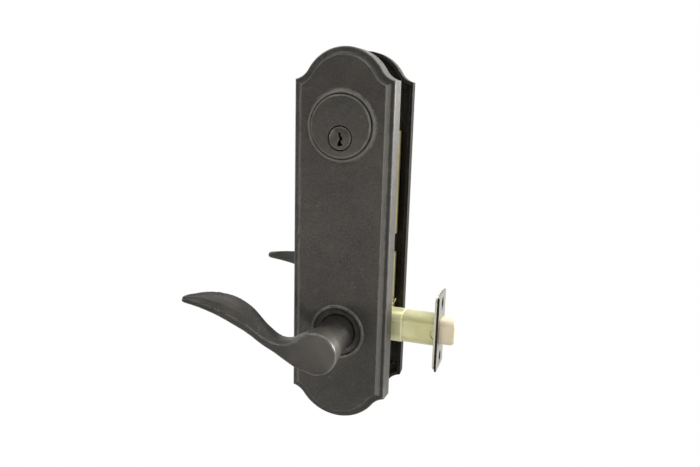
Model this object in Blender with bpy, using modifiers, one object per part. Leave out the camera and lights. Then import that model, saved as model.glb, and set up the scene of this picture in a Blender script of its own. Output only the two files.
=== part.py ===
# Entry lock set for a door: two arched escutcheon plates, wave levers, key cylinder and spring latch.
# Metres, +Z up. The lever axis is the Y axis, the middle of the door is y = 0, the latch points to +X.
import math

import bmesh
import bpy
from mathutils import Matrix, Vector

# Door and running gaps
DOOR_THICKNESS = 0.035
BACKSET = 0.06985
LOCK_CENTRES = 0.1397
SEAT_GAP = 0.0003
RUN_GAP = 0.0003

# Escutcheon plates
PLATE_HALF_WIDTH = 0.0354
PLATE_TOP_SHOULDER = 0.1776
PLATE_BOTTOM_SHOULDER = 0.0485
PLATE_DEPTH = 0.0148
PLATE_BORDER_STEP = 0.0031
PLATE_BORDER_WIDTH = 0.0058
PLATE_WALL = 0.0028
TOP_ARCH_RADIUS = 0.030
BOTTOM_ARCH_RADIUS = 0.033
COVE_RADIUS = 0.014
COVE_OVERHANG = 0.0027
FIELD_Y = DOOR_THICKNESS / 2 + PLATE_DEPTH
FIELD_BACK_Y = FIELD_Y - PLATE_WALL

# Key cylinder
CYLINDER_FACE_RADIUS = 0.0209
CYLINDER_FACE_THICKNESS = 0.0030
CYLINDER_FACE_PROUD = 0.0040
CYLINDER_BODY_RADIUS = 0.0165
CYLINDER_BODY_LENGTH = 0.0190
PLUG_BELOW_CENTRES = 0.0008
PLUG_ECCENTRICITY = 0.0077
PLUG_Z = LOCK_CENTRES - PLUG_BELOW_CENTRES
CYLINDER_Z = PLUG_Z + PLUG_ECCENTRICITY
PLUG_RADIUS = 0.0078
PLUG_PROUD = 0.0003
PLUG_LENGTH = 0.0190
KEYWAY_HEIGHT = 0.0092
KEYWAY_WIDTH = 0.0012
KEYWAY_JOG = 0.0010
KEYWAY_DEPTH = 0.0150
KEYWAY_HEIGHT_SHARES = (0.5, 0.24, 0.08, -0.10, -0.26, -0.5)
KEYWAY_JOG_SHARES = (0.0, 0.0, 0.7, 0.7, -0.5, -0.1)
BOSS_BASE_RADIUS = 0.0243
BOSS_TOP_RADIUS = 0.0222
BOSS_HEIGHT = 0.0022

# Turn piece and its blade
TURN_BASE_RADIUS = 0.0135
TURN_BASE_THICKNESS = 0.0035
TURN_HALF_LENGTH = 0.0170
TURN_HALF_WIDTH = 0.0036
TURN_HEIGHT = 0.0150
TURN_SHAFT_RADIUS = 0.0060
TURN_SHAFT_LENGTH = 0.0110
BLADE_WIDTH = 0.0062
BLADE_THICKNESS = 0.0018
BLADE_SLOT_DEPTH = 0.0060

# Levers
LEVER_FACE_Y = 0.0775
LEVER_HEAD_RADIUS = 0.0148
NECK_RADIUS = 0.0125
NECK_MID_RADIUS = 0.0118
NECK_INNER_END = 0.0062
LEVER_TIP_SWEEP = 0.0058
LEVER_REACH = 0.1035
LEVER_EDGE_ROUND = 0.0016
LEVER_CROWN = 0.0012
STEM_DEPTH = 0.0205
HEAD_DEPTH = 0.0110
HEAD_TAPER = 0.0004
SCREW_WELL_DEPTH = 0.0120
STEM_MID_DEPTH = 0.0295
NECK_START_DEPTH = 0.0375
LEVER_SWEEP_STEPS = 2
# Each station: share of the reach, front edge bottom and top, rear edge top and bottom, depth behind the face
LEVER_STATIONS = (
    (0.0386, -0.0135, 0.0130, 0.0130, -0.0130, 0.0155),
    (0.1159, -0.0121, 0.0084, 0.0096, -0.0118, 0.0153),
    (0.1932, -0.0084, 0.0042, 0.0048, -0.0080, 0.0145),
    (0.2802, -0.0036, 0.0034, 0.0048, -0.0030, 0.0135),
    (0.3768, 0.0008, 0.0068, 0.0118, 0.0018, 0.0127),
    (0.4831, 0.0068, 0.0127, 0.0224, 0.0082, 0.0125),
    (0.5990, 0.0116, 0.0171, 0.0286, 0.0136, 0.0125),
    (0.7246, 0.0160, 0.0207, 0.0305, 0.0184, 0.0125),
    (0.8502, 0.0190, 0.0232, 0.0294, 0.0208, 0.0123),
    (0.9372, 0.0203, 0.0243, 0.0270, 0.0215, 0.0111),
    (0.9807, 0.0209, 0.0240, 0.0252, 0.0217, 0.0095),
    (1.0, 0.0218, 0.0232, 0.0236, 0.0222, 0.0080),
)

# Rose ring and lever bearing
ROSE_BEAD_RADIUS = 0.0187
ROSE_BEAD_SIZE = 0.0010
ROSE_DISH_RADIUS = 0.0176
ROSE_DISH_DEPTH = 0.0016
BEARING_OUTER_RADIUS = 0.0150
BEARING_FLANGE_RADIUS = 0.0172
BEARING_FLANGE_THICKNESS = 0.0012
CLIP_OUTER_RADIUS = 0.0136
CLIP_THICKNESS = 0.0012
CLIP_GROOVE_DEPTH = 0.0016
CLIP_OPENING = 0.0090

# Spindle, hub and set screws
SPINDLE_SIZE = 0.0079
SPINDLE_END = 0.0560
HUB_RADIUS = 0.0072
HUB_HOLE_REACH = 0.0150
SET_SCREW_RADIUS = 0.0020
SET_SCREW_Y = 0.0420

# Chassis sheets behind the plates
CHASSIS_HALF_WIDTH = 0.0275
CHASSIS_THICKNESS = 0.0016
CHASSIS_TOP = 0.1660
CHASSIS_BOTTOM = 0.0400
CHASSIS_LIP = 0.0032
CHASSIS_Y = 0.0190
CHASSIS_WAIST = 0.0205
# Heights, start and end, where both edges of the sheet are cut back to the waist
CHASSIS_NOTCHES = ((-0.0420, 0.0060), (0.0506, 0.0653), (0.1428, 0.1680))
POST_RADIUS = 0.0042
PLATE_SCREW_HEIGHTS = (0.1000, -0.0320)
SCREW_RADIUS = 0.0019
SCREW_HEAD_RADIUS = 0.0040
SCREW_HEAD_HEIGHT = 0.0022
SLOT_WIDTH = 0.0010
SLOT_DEPTH = 0.0009
BOLT_THREAD_LENGTH = 0.0080
CYLINDER_BOLT_HEAD = 0.0034
POST_THREAD_END = 0.0018
BOLT_END_PROUD = 0.0010
PLATE_SCREW_PAST = 0.0030
CYLINDER_BOLT_X = 0.0122
CYLINDER_BOLT_Z = CYLINDER_Z + 0.0015
THROUGH_BOLT_Z = 0.0225
THROUGH_BOLT_RADIUS = 0.0022

# Return springs
SPRING_RADIUS = 0.0032
SPRING_WIRE = 0.0005
SPRING_TURNS = 7
SPRING_START = 0.0085
SPRING_LENGTH = 0.0180
SPRING_Z = 0.0185

# Tubular latch
LATCH_FACE_WIDTH = 0.0254
LATCH_FACE_HEIGHT = 0.05715
LATCH_FACE_THICKNESS = 0.0015
FACE_CORNER = 0.0012
BACKING_CORNER = 0.0064
BACKING_THICKNESS = 0.0014
CASE_HALF_WIDTH = 0.0093
CASE_HALF_HEIGHT = 0.0112
CASE_CORNER = 0.0058
CASE_WALL = 0.0011
CASE_SLEEVE = 0.0005
CASE_SLEEVE_END = 0.0420
CASE_REAR = 0.0140
BOLT_THROW = 0.0127
BOLT_HALF_WIDTH = 0.0074
BOLT_HALF_HEIGHT = 0.0092
BOLT_CORNER = 0.0030
BOLT_BEVEL_START = 0.0010
BOLT_BEVEL_SLOPE = 1.03
BOLT_TIP_ROUND = 0.0024
BOLT_REAR = 0.0500
FACE_SCREW_PITCH = 0.0206
FACE_SCREW_RADIUS = 0.0024
FACE_SCREW_STRETCH = 1.45
DRAW_BAR_END = 0.0225
DRAW_BAR_HALF_HEIGHT = 0.0032
DRAW_BAR_HALF_WIDTH = 0.0012
HOOK_RISE = 0.0040
HOOK_LENGTH = 0.0030
LATCH_SPRING_WIRE = 0.0005
LATCH_SPRING_TURNS = 6
LATCH_SPRING_LENGTH = 0.0120

# Facets round a full turn
ROUND_STEPS = 32
HOLE_STEPS = 28
SHAFT_STEPS = 24
SMALL_STEPS = 12
COIL_STEPS = 8
COVE_STEPS = 5
ARCH_STEPS = 8


# Start from an empty scene, with one collection for the lock and one for its cutters
for old in list(bpy.data.objects):
    bpy.data.objects.remove(old, do_unlink=True)
LOCK = bpy.data.collections.new("entry_lock_set")
CUTTERS = bpy.data.collections.new("cutters")
bpy.context.scene.collection.children.link(LOCK)
bpy.context.scene.collection.children.link(CUTTERS)


def make_material(name, colour, roughness, metallic):
    """One Principled finish."""
    material = bpy.data.materials.new(name)
    material.use_nodes = True
    shader = material.node_tree.nodes["Principled BSDF"]
    shader.inputs["Base Color"].default_value = (*colour, 1)
    shader.inputs["Roughness"].default_value = roughness
    shader.inputs["Metallic"].default_value = metallic
    return material


def place(obj, collection, parent=None):
    """Put an object in a collection, and on a parent empty where it turns or slides."""
    collection.objects.link(obj)
    if parent is not None:
        obj.parent = parent
        obj.matrix_parent_inverse = parent.matrix_world.inverted()
    return obj


def finish_part(obj, material, parent=None):
    """A kept part: its finish, its smooth shading and its place in the lock's collection."""
    obj.data.materials.clear()
    obj.data.materials.append(material)
    obj.data.shade_smooth()
    obj.data.set_sharp_from_angle(angle=math.radians(35))
    return place(obj, LOCK, parent)


def finish_cutter(obj):
    """A cutter is left out of the build and only drawn as wire."""
    obj.hide_render = True
    obj.display_type = "WIRE"
    return place(obj, CUTTERS)


def mesh_object(name, bm):
    """Turn a bmesh into an object, with its normals pointing out."""
    bmesh.ops.recalc_face_normals(bm, faces=bm.faces)
    mesh = bpy.data.meshes.new(name)
    bm.to_mesh(mesh)
    bm.free()
    return bpy.data.objects.new(name, mesh)


def loft_object(name, rings):
    """Skin a list of closed rings with equal point counts, and cap both ends."""
    bm = bmesh.new()
    loops = [[bm.verts.new(point) for point in ring] for ring in rings]
    for first, second in zip(loops, loops[1:]):
        for i in range(len(first)):
            j = (i + 1) % len(first)
            bm.faces.new((first[i], first[j], second[j], second[i]))
    bm.faces.new(loops[0])
    bm.faces.new(loops[-1])
    return mesh_object(name, bm)


def bar_object(name, low, high):
    """A plain square-edged bar between two corners."""
    bm = bmesh.new()
    size = [high[i] - low[i] for i in range(3)]
    centre = [(high[i] + low[i]) / 2 for i in range(3)]
    bmesh.ops.create_cube(bm, size=1)
    bmesh.ops.scale(bm, vec=size, verts=bm.verts)
    bmesh.ops.translate(bm, vec=centre, verts=bm.verts)
    return mesh_object(name, bm)


def turned_object(name, profile, x=0.0, z=0.0, side=-1, steps=ROUND_STEPS):
    """Turn a profile of (radius, distance from the door middle) about an axis along Y."""
    bm = bmesh.new()
    verts = [bm.verts.new((radius, side * y, 0)) for radius, y in profile]
    edges = [bm.edges.new(pair) for pair in zip(verts, verts[1:])]
    if profile[0][0] > 0:
        edges.append(bm.edges.new((verts[-1], verts[0])))
    bmesh.ops.spin(bm, geom=verts + edges, cent=(0, 0, 0), axis=(0, 1, 0), angle=2 * math.pi,
                   steps=steps, use_merge=True)
    bmesh.ops.remove_doubles(bm, verts=bm.verts, dist=1e-6)
    bmesh.ops.translate(bm, vec=(x, 0, z), verts=bm.verts)
    return mesh_object(name, bm)


def rod_object(name, radius, y_near, y_far, x=0.0, z=0.0, steps=SMALL_STEPS):
    """A plain round rod along Y between two signed places."""
    bm = bmesh.new()
    turn = Matrix.Rotation(math.pi / 2, 4, "X")
    bmesh.ops.create_cone(bm, cap_ends=True, segments=steps, radius1=radius, radius2=radius,
                          depth=abs(y_far - y_near), matrix=turn)
    bmesh.ops.translate(bm, vec=(x, (y_near + y_far) / 2, z), verts=bm.verts)
    return mesh_object(name, bm)


def combine(obj, other, operation):
    """Cut or join with an exact Boolean; the other object becomes a guide."""
    finish_cutter(other)
    modifier = obj.modifiers.new(operation.lower() + "_" + other.name, "BOOLEAN")
    modifier.operation = operation
    modifier.solver = "EXACT"
    modifier.object = other
    return obj


def cut(obj, other):
    return combine(obj, other, "DIFFERENCE")


def join(obj, other):
    return combine(obj, other, "UNION")


def arc_points(centre, radius, start, end, steps):
    """Points along an arc in degrees, both ends kept."""
    angles = [math.radians(start + (end - start) * i / steps) for i in range(steps + 1)]
    return [(centre[0] + radius * math.cos(a), centre[1] + radius * math.sin(a)) for a in angles]


def arch_half(arch_radius, inset):
    """Right half of an arched plate end, from the shoulder corner to the crown, shoulder at height 0."""
    reach = PLATE_HALF_WIDTH + COVE_OVERHANG
    cove_z = math.sqrt(COVE_RADIUS ** 2 - COVE_OVERHANG ** 2)
    lean = math.asin(reach / (arch_radius + COVE_RADIUS))
    arch_z = cove_z - (arch_radius + COVE_RADIUS) * math.cos(lean)
    cove = COVE_RADIUS + inset
    corner_x = PLATE_HALF_WIDTH - inset
    corner_lean = math.degrees(math.asin((reach - corner_x) / cove))
    lean_degrees = math.degrees(lean)
    points = arc_points((reach, cove_z), cove, 270 - corner_lean, 270 - lean_degrees, COVE_STEPS)
    points += arc_points((0, arch_z), arch_radius - inset, 90 - lean_degrees, 90, ARCH_STEPS)[1:]
    return points


def plate_outline(inset, side, y):
    """Closed ring of the plate's outline, drawn in from its edge by an even inset."""
    top = arch_half(TOP_ARCH_RADIUS, inset)
    bottom = arch_half(BOTTOM_ARCH_RADIUS, inset)
    right_top = [(x, PLATE_TOP_SHOULDER + z) for x, z in top]
    left_top = [(-x, z) for x, z in reversed(right_top[:-1])]
    left_bottom = [(-x, -PLATE_BOTTOM_SHOULDER - z) for x, z in bottom]
    right_bottom = [(-x, z) for x, z in reversed(left_bottom[:-1])]
    return [Vector((x, side * y, z)) for x, z in right_top + left_top + left_bottom + right_bottom]


def plate_shell(name, side):
    """The hollow casting: inner face, inner wall, rear rim, outer wall, stepped border and raised field."""
    rim = DOOR_THICKNESS / 2
    border = FIELD_Y - PLATE_BORDER_STEP
    sections = (
        (PLATE_BORDER_WIDTH + PLATE_WALL / 2, FIELD_BACK_Y),
        (PLATE_WALL + 0.0006, border - PLATE_WALL / 2),
        (PLATE_WALL, border - PLATE_WALL),
        (PLATE_WALL - 0.0006, rim),
        (0.0, rim),
        (0.0002, border - 0.0012),
        (0.0005, border - 0.0005),
        (0.0011, border),
        (PLATE_BORDER_WIDTH - 0.0022, border + 0.0004),
        (PLATE_BORDER_WIDTH - 0.0012, border + 0.0010),
        (PLATE_BORDER_WIDTH - 0.0005, FIELD_Y - 0.0004),
        (PLATE_BORDER_WIDTH, FIELD_Y),
    )
    return loft_object(name, [plate_outline(inset, side, y) for inset, y in sections])


def rose_and_posts(plate, side, tag):
    """What both castings share: the rose bead and dish, the lever hole and the chassis posts."""
    bead = [(ROSE_BEAD_RADIUS + ROSE_BEAD_SIZE * math.cos(a), FIELD_Y - 0.0002 + ROSE_BEAD_SIZE * math.sin(a))
            for a in [2 * math.pi * i / 6 for i in range(6)]]
    join(plate, turned_object("rose_bead_" + tag, bead, side=side))
    dish_floor = FIELD_Y - ROSE_DISH_DEPTH
    hole = BEARING_OUTER_RADIUS + SEAT_GAP
    dish = ((0, FIELD_Y + 0.004), (ROSE_DISH_RADIUS + 0.002, FIELD_Y + 0.004), (ROSE_DISH_RADIUS, FIELD_Y),
            (hole + 0.0006, dish_floor), (hole, dish_floor - 0.0004), (hole, FIELD_BACK_Y - 0.002),
            (0, FIELD_BACK_Y - 0.002))
    for number, height in enumerate(PLATE_SCREW_HEIGHTS):
        post_tip = CHASSIS_Y + CHASSIS_THICKNESS + SEAT_GAP
        post = rod_object("post_%s_%d" % (tag, number), POST_RADIUS, side * post_tip,
                          side * (FIELD_BACK_Y + 0.0008), z=height)
        join(plate, post)
    cut(plate, turned_object("rose_dish_" + tag, dish, side=side))


def make_exterior_plate(bronze):
    """Outside casting, with the raised ring round the key cylinder."""
    plate = plate_shell("exterior_plate", -1)
    recess = CYLINDER_FACE_RADIUS + SEAT_GAP
    seat = FIELD_Y + CYLINDER_FACE_PROUD - CYLINDER_FACE_THICKNESS - SEAT_GAP
    boss = ((0, FIELD_Y + 0.0006), (recess - 0.001, FIELD_Y + BOSS_HEIGHT), (BOSS_TOP_RADIUS - 0.0004,
            FIELD_Y + BOSS_HEIGHT), (BOSS_TOP_RADIUS, FIELD_Y + BOSS_HEIGHT - 0.0004),
            (BOSS_TOP_RADIUS + 0.0008, FIELD_Y + 0.0009), (BOSS_BASE_RADIUS, FIELD_Y + 0.0001),
            (BOSS_BASE_RADIUS + 0.0002, FIELD_Y - 0.001), (0, FIELD_Y - 0.001))
    join(plate, turned_object("cylinder_boss", boss, z=CYLINDER_Z))
    bore = CYLINDER_BODY_RADIUS + SEAT_GAP
    hole = ((0, FIELD_Y + 0.006), (recess, FIELD_Y + 0.006), (recess, seat), (bore, seat),
            (bore, FIELD_BACK_Y - 0.002), (0, FIELD_BACK_Y - 0.002))
    cut(plate, turned_object("cylinder_hole", hole, z=CYLINDER_Z, steps=HOLE_STEPS))
    rose_and_posts(plate, -1, "exterior")
    for number, height in enumerate(PLATE_SCREW_HEIGHTS):
        tapping = rod_object("post_tapping_%d" % number, SCREW_RADIUS + SEAT_GAP / 2,
                             -(CHASSIS_Y - 0.002), -(FIELD_BACK_Y - 0.0012), z=height)
        cut(plate, tapping)
    return finish_part(plate, bronze)


def make_interior_plate(bronze):
    """Inside casting, the outside one's mirror image, with a turn-piece hole and two screw holes."""
    plate = plate_shell("interior_plate", 1)
    bore = TURN_SHAFT_RADIUS + RUN_GAP
    cut(plate, rod_object("turn_hole", bore, FIELD_BACK_Y - 0.002, FIELD_Y + 0.002, z=PLUG_Z,
                          steps=SHAFT_STEPS))
    rose_and_posts(plate, 1, "interior")
    for number, height in enumerate(PLATE_SCREW_HEIGHTS):
        clear = rod_object("plate_screw_hole_%d" % number, SCREW_RADIUS + SEAT_GAP,
                           CHASSIS_Y - 0.002, FIELD_Y + 0.002, z=height)
        cut(plate, clear)
    return finish_part(plate, bronze)


def make_cylinder_body(bronze):
    """Face disc and housing of the key cylinder, bored off centre for the plug and for two bolts."""
    face = FIELD_Y + CYLINDER_FACE_PROUD
    shoulder = face - CYLINDER_FACE_THICKNESS
    back = shoulder - CYLINDER_BODY_LENGTH
    profile = ((0, face), (CYLINDER_FACE_RADIUS - 0.0009, face), (CYLINDER_FACE_RADIUS - 0.0003, face - 0.0003),
               (CYLINDER_FACE_RADIUS, face - 0.0010), (CYLINDER_FACE_RADIUS, shoulder),
               (CYLINDER_BODY_RADIUS, shoulder), (CYLINDER_BODY_RADIUS, back), (0, back))
    body = turned_object("cylinder_body", profile, z=CYLINDER_Z)
    cut(body, rod_object("plug_bore", PLUG_RADIUS + RUN_GAP, -(face + 0.002), -(back - 0.002),
                         z=PLUG_Z, steps=HOLE_STEPS))
    for tag, x in (("left", -CYLINDER_BOLT_X), ("right", CYLINDER_BOLT_X)):
        tapping = rod_object("cylinder_tapping_" + tag, SCREW_RADIUS + SEAT_GAP, -(back - 0.002),
                             -(back + 0.010), x=x, z=CYLINDER_BOLT_Z, steps=SMALL_STEPS)
        cut(body, tapping)
    return finish_part(body, bronze)


def make_key_plug(bronze, parent):
    """Turning plug with its crooked keyway and a slot behind for the blade."""
    front = FIELD_Y + CYLINDER_FACE_PROUD + PLUG_PROUD
    back = front - PLUG_LENGTH
    profile = ((0, front), (PLUG_RADIUS - 0.0005, front), (PLUG_RADIUS, front - 0.0005),
               (PLUG_RADIUS, back), (0, back))
    plug = turned_object("key_plug", profile, z=PLUG_Z, steps=HOLE_STEPS)
    half = KEYWAY_WIDTH / 2
    heights = [KEYWAY_HEIGHT * share for share in KEYWAY_HEIGHT_SHARES]
    jogs = [KEYWAY_JOG * share for share in KEYWAY_JOG_SHARES]
    left = [(jog - half, height) for jog, height in zip(jogs, heights)]
    right = [(jog + half, height) for jog, height in reversed(list(zip(jogs, heights)))]
    rings = [[Vector((x, -y, PLUG_Z + z)) for x, z in left + right]
             for y in (front + 0.001, front - KEYWAY_DEPTH)]
    cut(plug, loft_object("keyway", rings))
    slot = bar_object("plug_slot", (-BLADE_WIDTH / 2 - SEAT_GAP, -(back + 0.003), PLUG_Z - BLADE_THICKNESS / 2
                      - SEAT_GAP), (BLADE_WIDTH / 2 + SEAT_GAP, -(back - 0.001),
                      PLUG_Z + BLADE_THICKNESS / 2 + SEAT_GAP))
    cut(plug, slot)
    return finish_part(plug, bronze, parent)


def make_turn_blade(steel, parent):
    """Flat blade that carries the plug's turn through the door to the turn piece."""
    plug_back = FIELD_Y + CYLINDER_FACE_PROUD + PLUG_PROUD - PLUG_LENGTH
    far_end = FIELD_Y + SEAT_GAP - TURN_SHAFT_LENGTH + BLADE_SLOT_DEPTH - SEAT_GAP
    blade = bar_object("turn_blade", (-BLADE_WIDTH / 2, -(plug_back + 0.003 - SEAT_GAP),
                       PLUG_Z - BLADE_THICKNESS / 2), (BLADE_WIDTH / 2, far_end, PLUG_Z + BLADE_THICKNESS / 2))
    return finish_part(blade, steel, parent)


def make_turn_piece(bronze, parent):
    """Inside turn piece: round foot, waisted grip and a slotted shaft through the plate."""
    foot = FIELD_Y + SEAT_GAP
    top = foot + TURN_BASE_THICKNESS
    shaft_end = foot - TURN_SHAFT_LENGTH
    profile = ((0, top), (TURN_BASE_RADIUS - 0.0016, top), (TURN_BASE_RADIUS - 0.0004, top - 0.0008),
               (TURN_BASE_RADIUS, top - 0.0020), (TURN_BASE_RADIUS, foot), (TURN_SHAFT_RADIUS, foot),
               (TURN_SHAFT_RADIUS, shaft_end), (0, shaft_end))
    turn = turned_object("turn_piece", profile, z=PLUG_Z, side=1)
    rings = []
    for rise, spread in ((-0.001, 0.62), (0.35, 0.66), (0.70, 0.88), (0.92, 1.0), (1.0, 0.90)):
        y = top + rise * TURN_HEIGHT
        if rise < 0:
            y = top + rise
        ring = [Vector((TURN_HALF_WIDTH * math.copysign(abs(math.cos(a)) ** 0.7, math.cos(a)), y,
                        PLUG_Z + TURN_HALF_LENGTH * spread * math.sin(a)))
                for a in [2 * math.pi * i / 20 for i in range(20)]]
        rings.append(ring)
    join(turn, loft_object("turn_grip", rings))
    slot = bar_object("turn_slot", (-BLADE_WIDTH / 2 - SEAT_GAP, shaft_end - 0.001,
                      PLUG_Z - BLADE_THICKNESS / 2 - SEAT_GAP), (BLADE_WIDTH / 2 + SEAT_GAP,
                      shaft_end + BLADE_SLOT_DEPTH, PLUG_Z + BLADE_THICKNESS / 2 + SEAT_GAP))
    cut(turn, slot)
    return finish_part(turn, bronze, parent)


def spline(values, position):
    """Smooth value between stations, by a Catmull-Rom curve."""
    index = min(int(position), len(values) - 2)
    t = position - index
    p1, p2 = values[index], values[index + 1]
    p0 = values[index - 1] if index else 2 * p1 - p2
    p3 = values[index + 2] if index + 2 < len(values) else 2 * p2 - p1
    return 0.5 * (2 * p1 + (p2 - p0) * t + (2 * p0 - 5 * p1 + 4 * p2 - p3) * t * t
                  + (3 * p1 - p0 - 3 * p2 + p3) * t ** 3)


def lever_section(position, side):
    """One rounded four-sided section of the lever's arm, with a crowned top."""
    share, low, high, rear_high, rear_low, depth = [spline([row[i] for row in LEVER_STATIONS], position)
                                                    for i in range(6)]
    reach = share * LEVER_REACH
    front = LEVER_FACE_Y - LEVER_TIP_SWEEP * share
    rear = LEVER_FACE_Y - depth
    corners = [(front, low), (front, high), (rear, rear_high), (rear, rear_low)]
    ring = []
    for i, corner in enumerate(corners):
        corner = Vector(corner)
        before = Vector(corners[i - 1]) - corner
        after = Vector(corners[(i + 1) % 4]) - corner
        bite = min(LEVER_EDGE_ROUND, before.length * 0.45, after.length * 0.45)
        start = corner + before.normalized() * bite
        end = corner + after.normalized() * bite
        middle = (start + end) / 4 + corner / 2
        ring += [start, middle, end]
        if i in (1, 3):
            across = Vector(corners[(i + 1) % 4]) + corner
            lift = LEVER_CROWN if i == 1 else -LEVER_CROWN / 2
            ring.append(across / 2 + Vector((0, lift)))
    return [Vector((-reach, side * y, z)) for y, z in ring]


def make_lever(name, side, bronze, parent):
    """One-piece wave lever: turned neck and round head, with a lofted arm that flattens to a paddle."""
    inner = DOOR_THICKNESS / 2 + NECK_INNER_END
    groove = inner + 0.0012
    groove_radius = NECK_RADIUS - CLIP_GROOVE_DEPTH
    clip = CLIP_THICKNESS + 2 * SEAT_GAP
    profile = ((0, LEVER_FACE_Y), (LEVER_HEAD_RADIUS - 0.0008, LEVER_FACE_Y),
               (LEVER_HEAD_RADIUS - 0.0001, LEVER_FACE_Y - 0.0006), (LEVER_HEAD_RADIUS, LEVER_FACE_Y - 0.0020),
               (LEVER_HEAD_RADIUS - HEAD_TAPER, LEVER_FACE_Y - HEAD_DEPTH),
               (NECK_MID_RADIUS + 0.0012, LEVER_FACE_Y - STEM_DEPTH),
               (NECK_MID_RADIUS, LEVER_FACE_Y - STEM_MID_DEPTH), (NECK_RADIUS, LEVER_FACE_Y - NECK_START_DEPTH),
               (NECK_RADIUS, groove + clip), (groove_radius, groove + clip), (groove_radius, groove),
               (NECK_RADIUS, groove), (NECK_RADIUS, inner), (0, inner))
    lever = turned_object(name, profile, side=side)
    count = (len(LEVER_STATIONS) - 1) * LEVER_SWEEP_STEPS
    rings = [lever_section(i / LEVER_SWEEP_STEPS, side) for i in range(count + 1)]
    join(lever, loft_object(name + "_arm", rings))
    half = SPINDLE_SIZE / 2 + SEAT_GAP
    near, far = sorted((side * (inner - 0.002), side * (SPINDLE_END + SEAT_GAP)))
    cut(lever, bar_object(name + "_socket", (-half, near, -half), (half, far, half)))
    bm = bmesh.new()
    bmesh.ops.create_cone(bm, cap_ends=True, segments=SMALL_STEPS, radius1=SET_SCREW_RADIUS + SEAT_GAP,
                          radius2=SET_SCREW_RADIUS + SEAT_GAP, depth=SCREW_WELL_DEPTH)
    bmesh.ops.translate(bm, vec=(0, side * SET_SCREW_Y, -half - 0.0055), verts=bm.verts)
    cut(lever, mesh_object(name + "_screw_hole", bm))
    return finish_part(lever, bronze, parent)


def make_set_screw(name, side, steel, parent):
    """Headless screw in the underside of the neck, with a hexagon socket."""
    top = -SPINDLE_SIZE / 2 - SEAT_GAP
    length = NECK_MID_RADIUS - SPINDLE_SIZE / 2 - 0.0012
    bm = bmesh.new()
    bmesh.ops.create_cone(bm, cap_ends=True, segments=SMALL_STEPS, radius1=SET_SCREW_RADIUS,
                          radius2=SET_SCREW_RADIUS, depth=length)
    bmesh.ops.translate(bm, vec=(0, side * SET_SCREW_Y, top - length / 2), verts=bm.verts)
    screw = mesh_object(name, bm)
    socket = bmesh.new()
    bmesh.ops.create_cone(socket, cap_ends=True, segments=6, radius1=SET_SCREW_RADIUS * 0.55,
                          radius2=SET_SCREW_RADIUS * 0.55, depth=0.004)
    bmesh.ops.translate(socket, vec=(0, side * SET_SCREW_Y, top - length), verts=socket.verts)
    cut(screw, mesh_object(name + "_socket", socket))
    return finish_part(screw, steel, parent)


def make_clip(name, side, steel, parent):
    """Open spring clip in the neck's groove."""
    inner = DOOR_THICKNESS / 2 + NECK_INNER_END + 0.0012 + SEAT_GAP
    hole = NECK_RADIUS - CLIP_GROOVE_DEPTH + SEAT_GAP
    profile = ((hole, inner + CLIP_THICKNESS), (CLIP_OUTER_RADIUS, inner + CLIP_THICKNESS),
               (CLIP_OUTER_RADIUS, inner), (hole, inner))
    clip = turned_object(name, profile, side=side, steps=HOLE_STEPS)
    gap = CLIP_OPENING / 2
    near, far = sorted((side * (inner - 0.001), side * (inner + CLIP_THICKNESS + 0.001)))
    cut(clip, bar_object(name + "_opening", (-gap, near, 0), (gap, far, CLIP_OUTER_RADIUS * 1.2)))
    return finish_part(clip, steel, parent)


def make_bearing(name, side, steel):
    """Flanged ring that the neck turns in, pressed through the plate from behind."""
    bore = NECK_RADIUS + RUN_GAP
    front = FIELD_Y - ROSE_DISH_DEPTH - 0.0006
    flange = FIELD_BACK_Y - SEAT_GAP
    back = flange - BEARING_FLANGE_THICKNESS
    profile = ((bore, front), (BEARING_OUTER_RADIUS, front), (BEARING_OUTER_RADIUS, flange),
               (BEARING_FLANGE_RADIUS, flange), (BEARING_FLANGE_RADIUS, back), (bore, back))
    return finish_part(turned_object(name, profile, side=side), steel)


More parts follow.
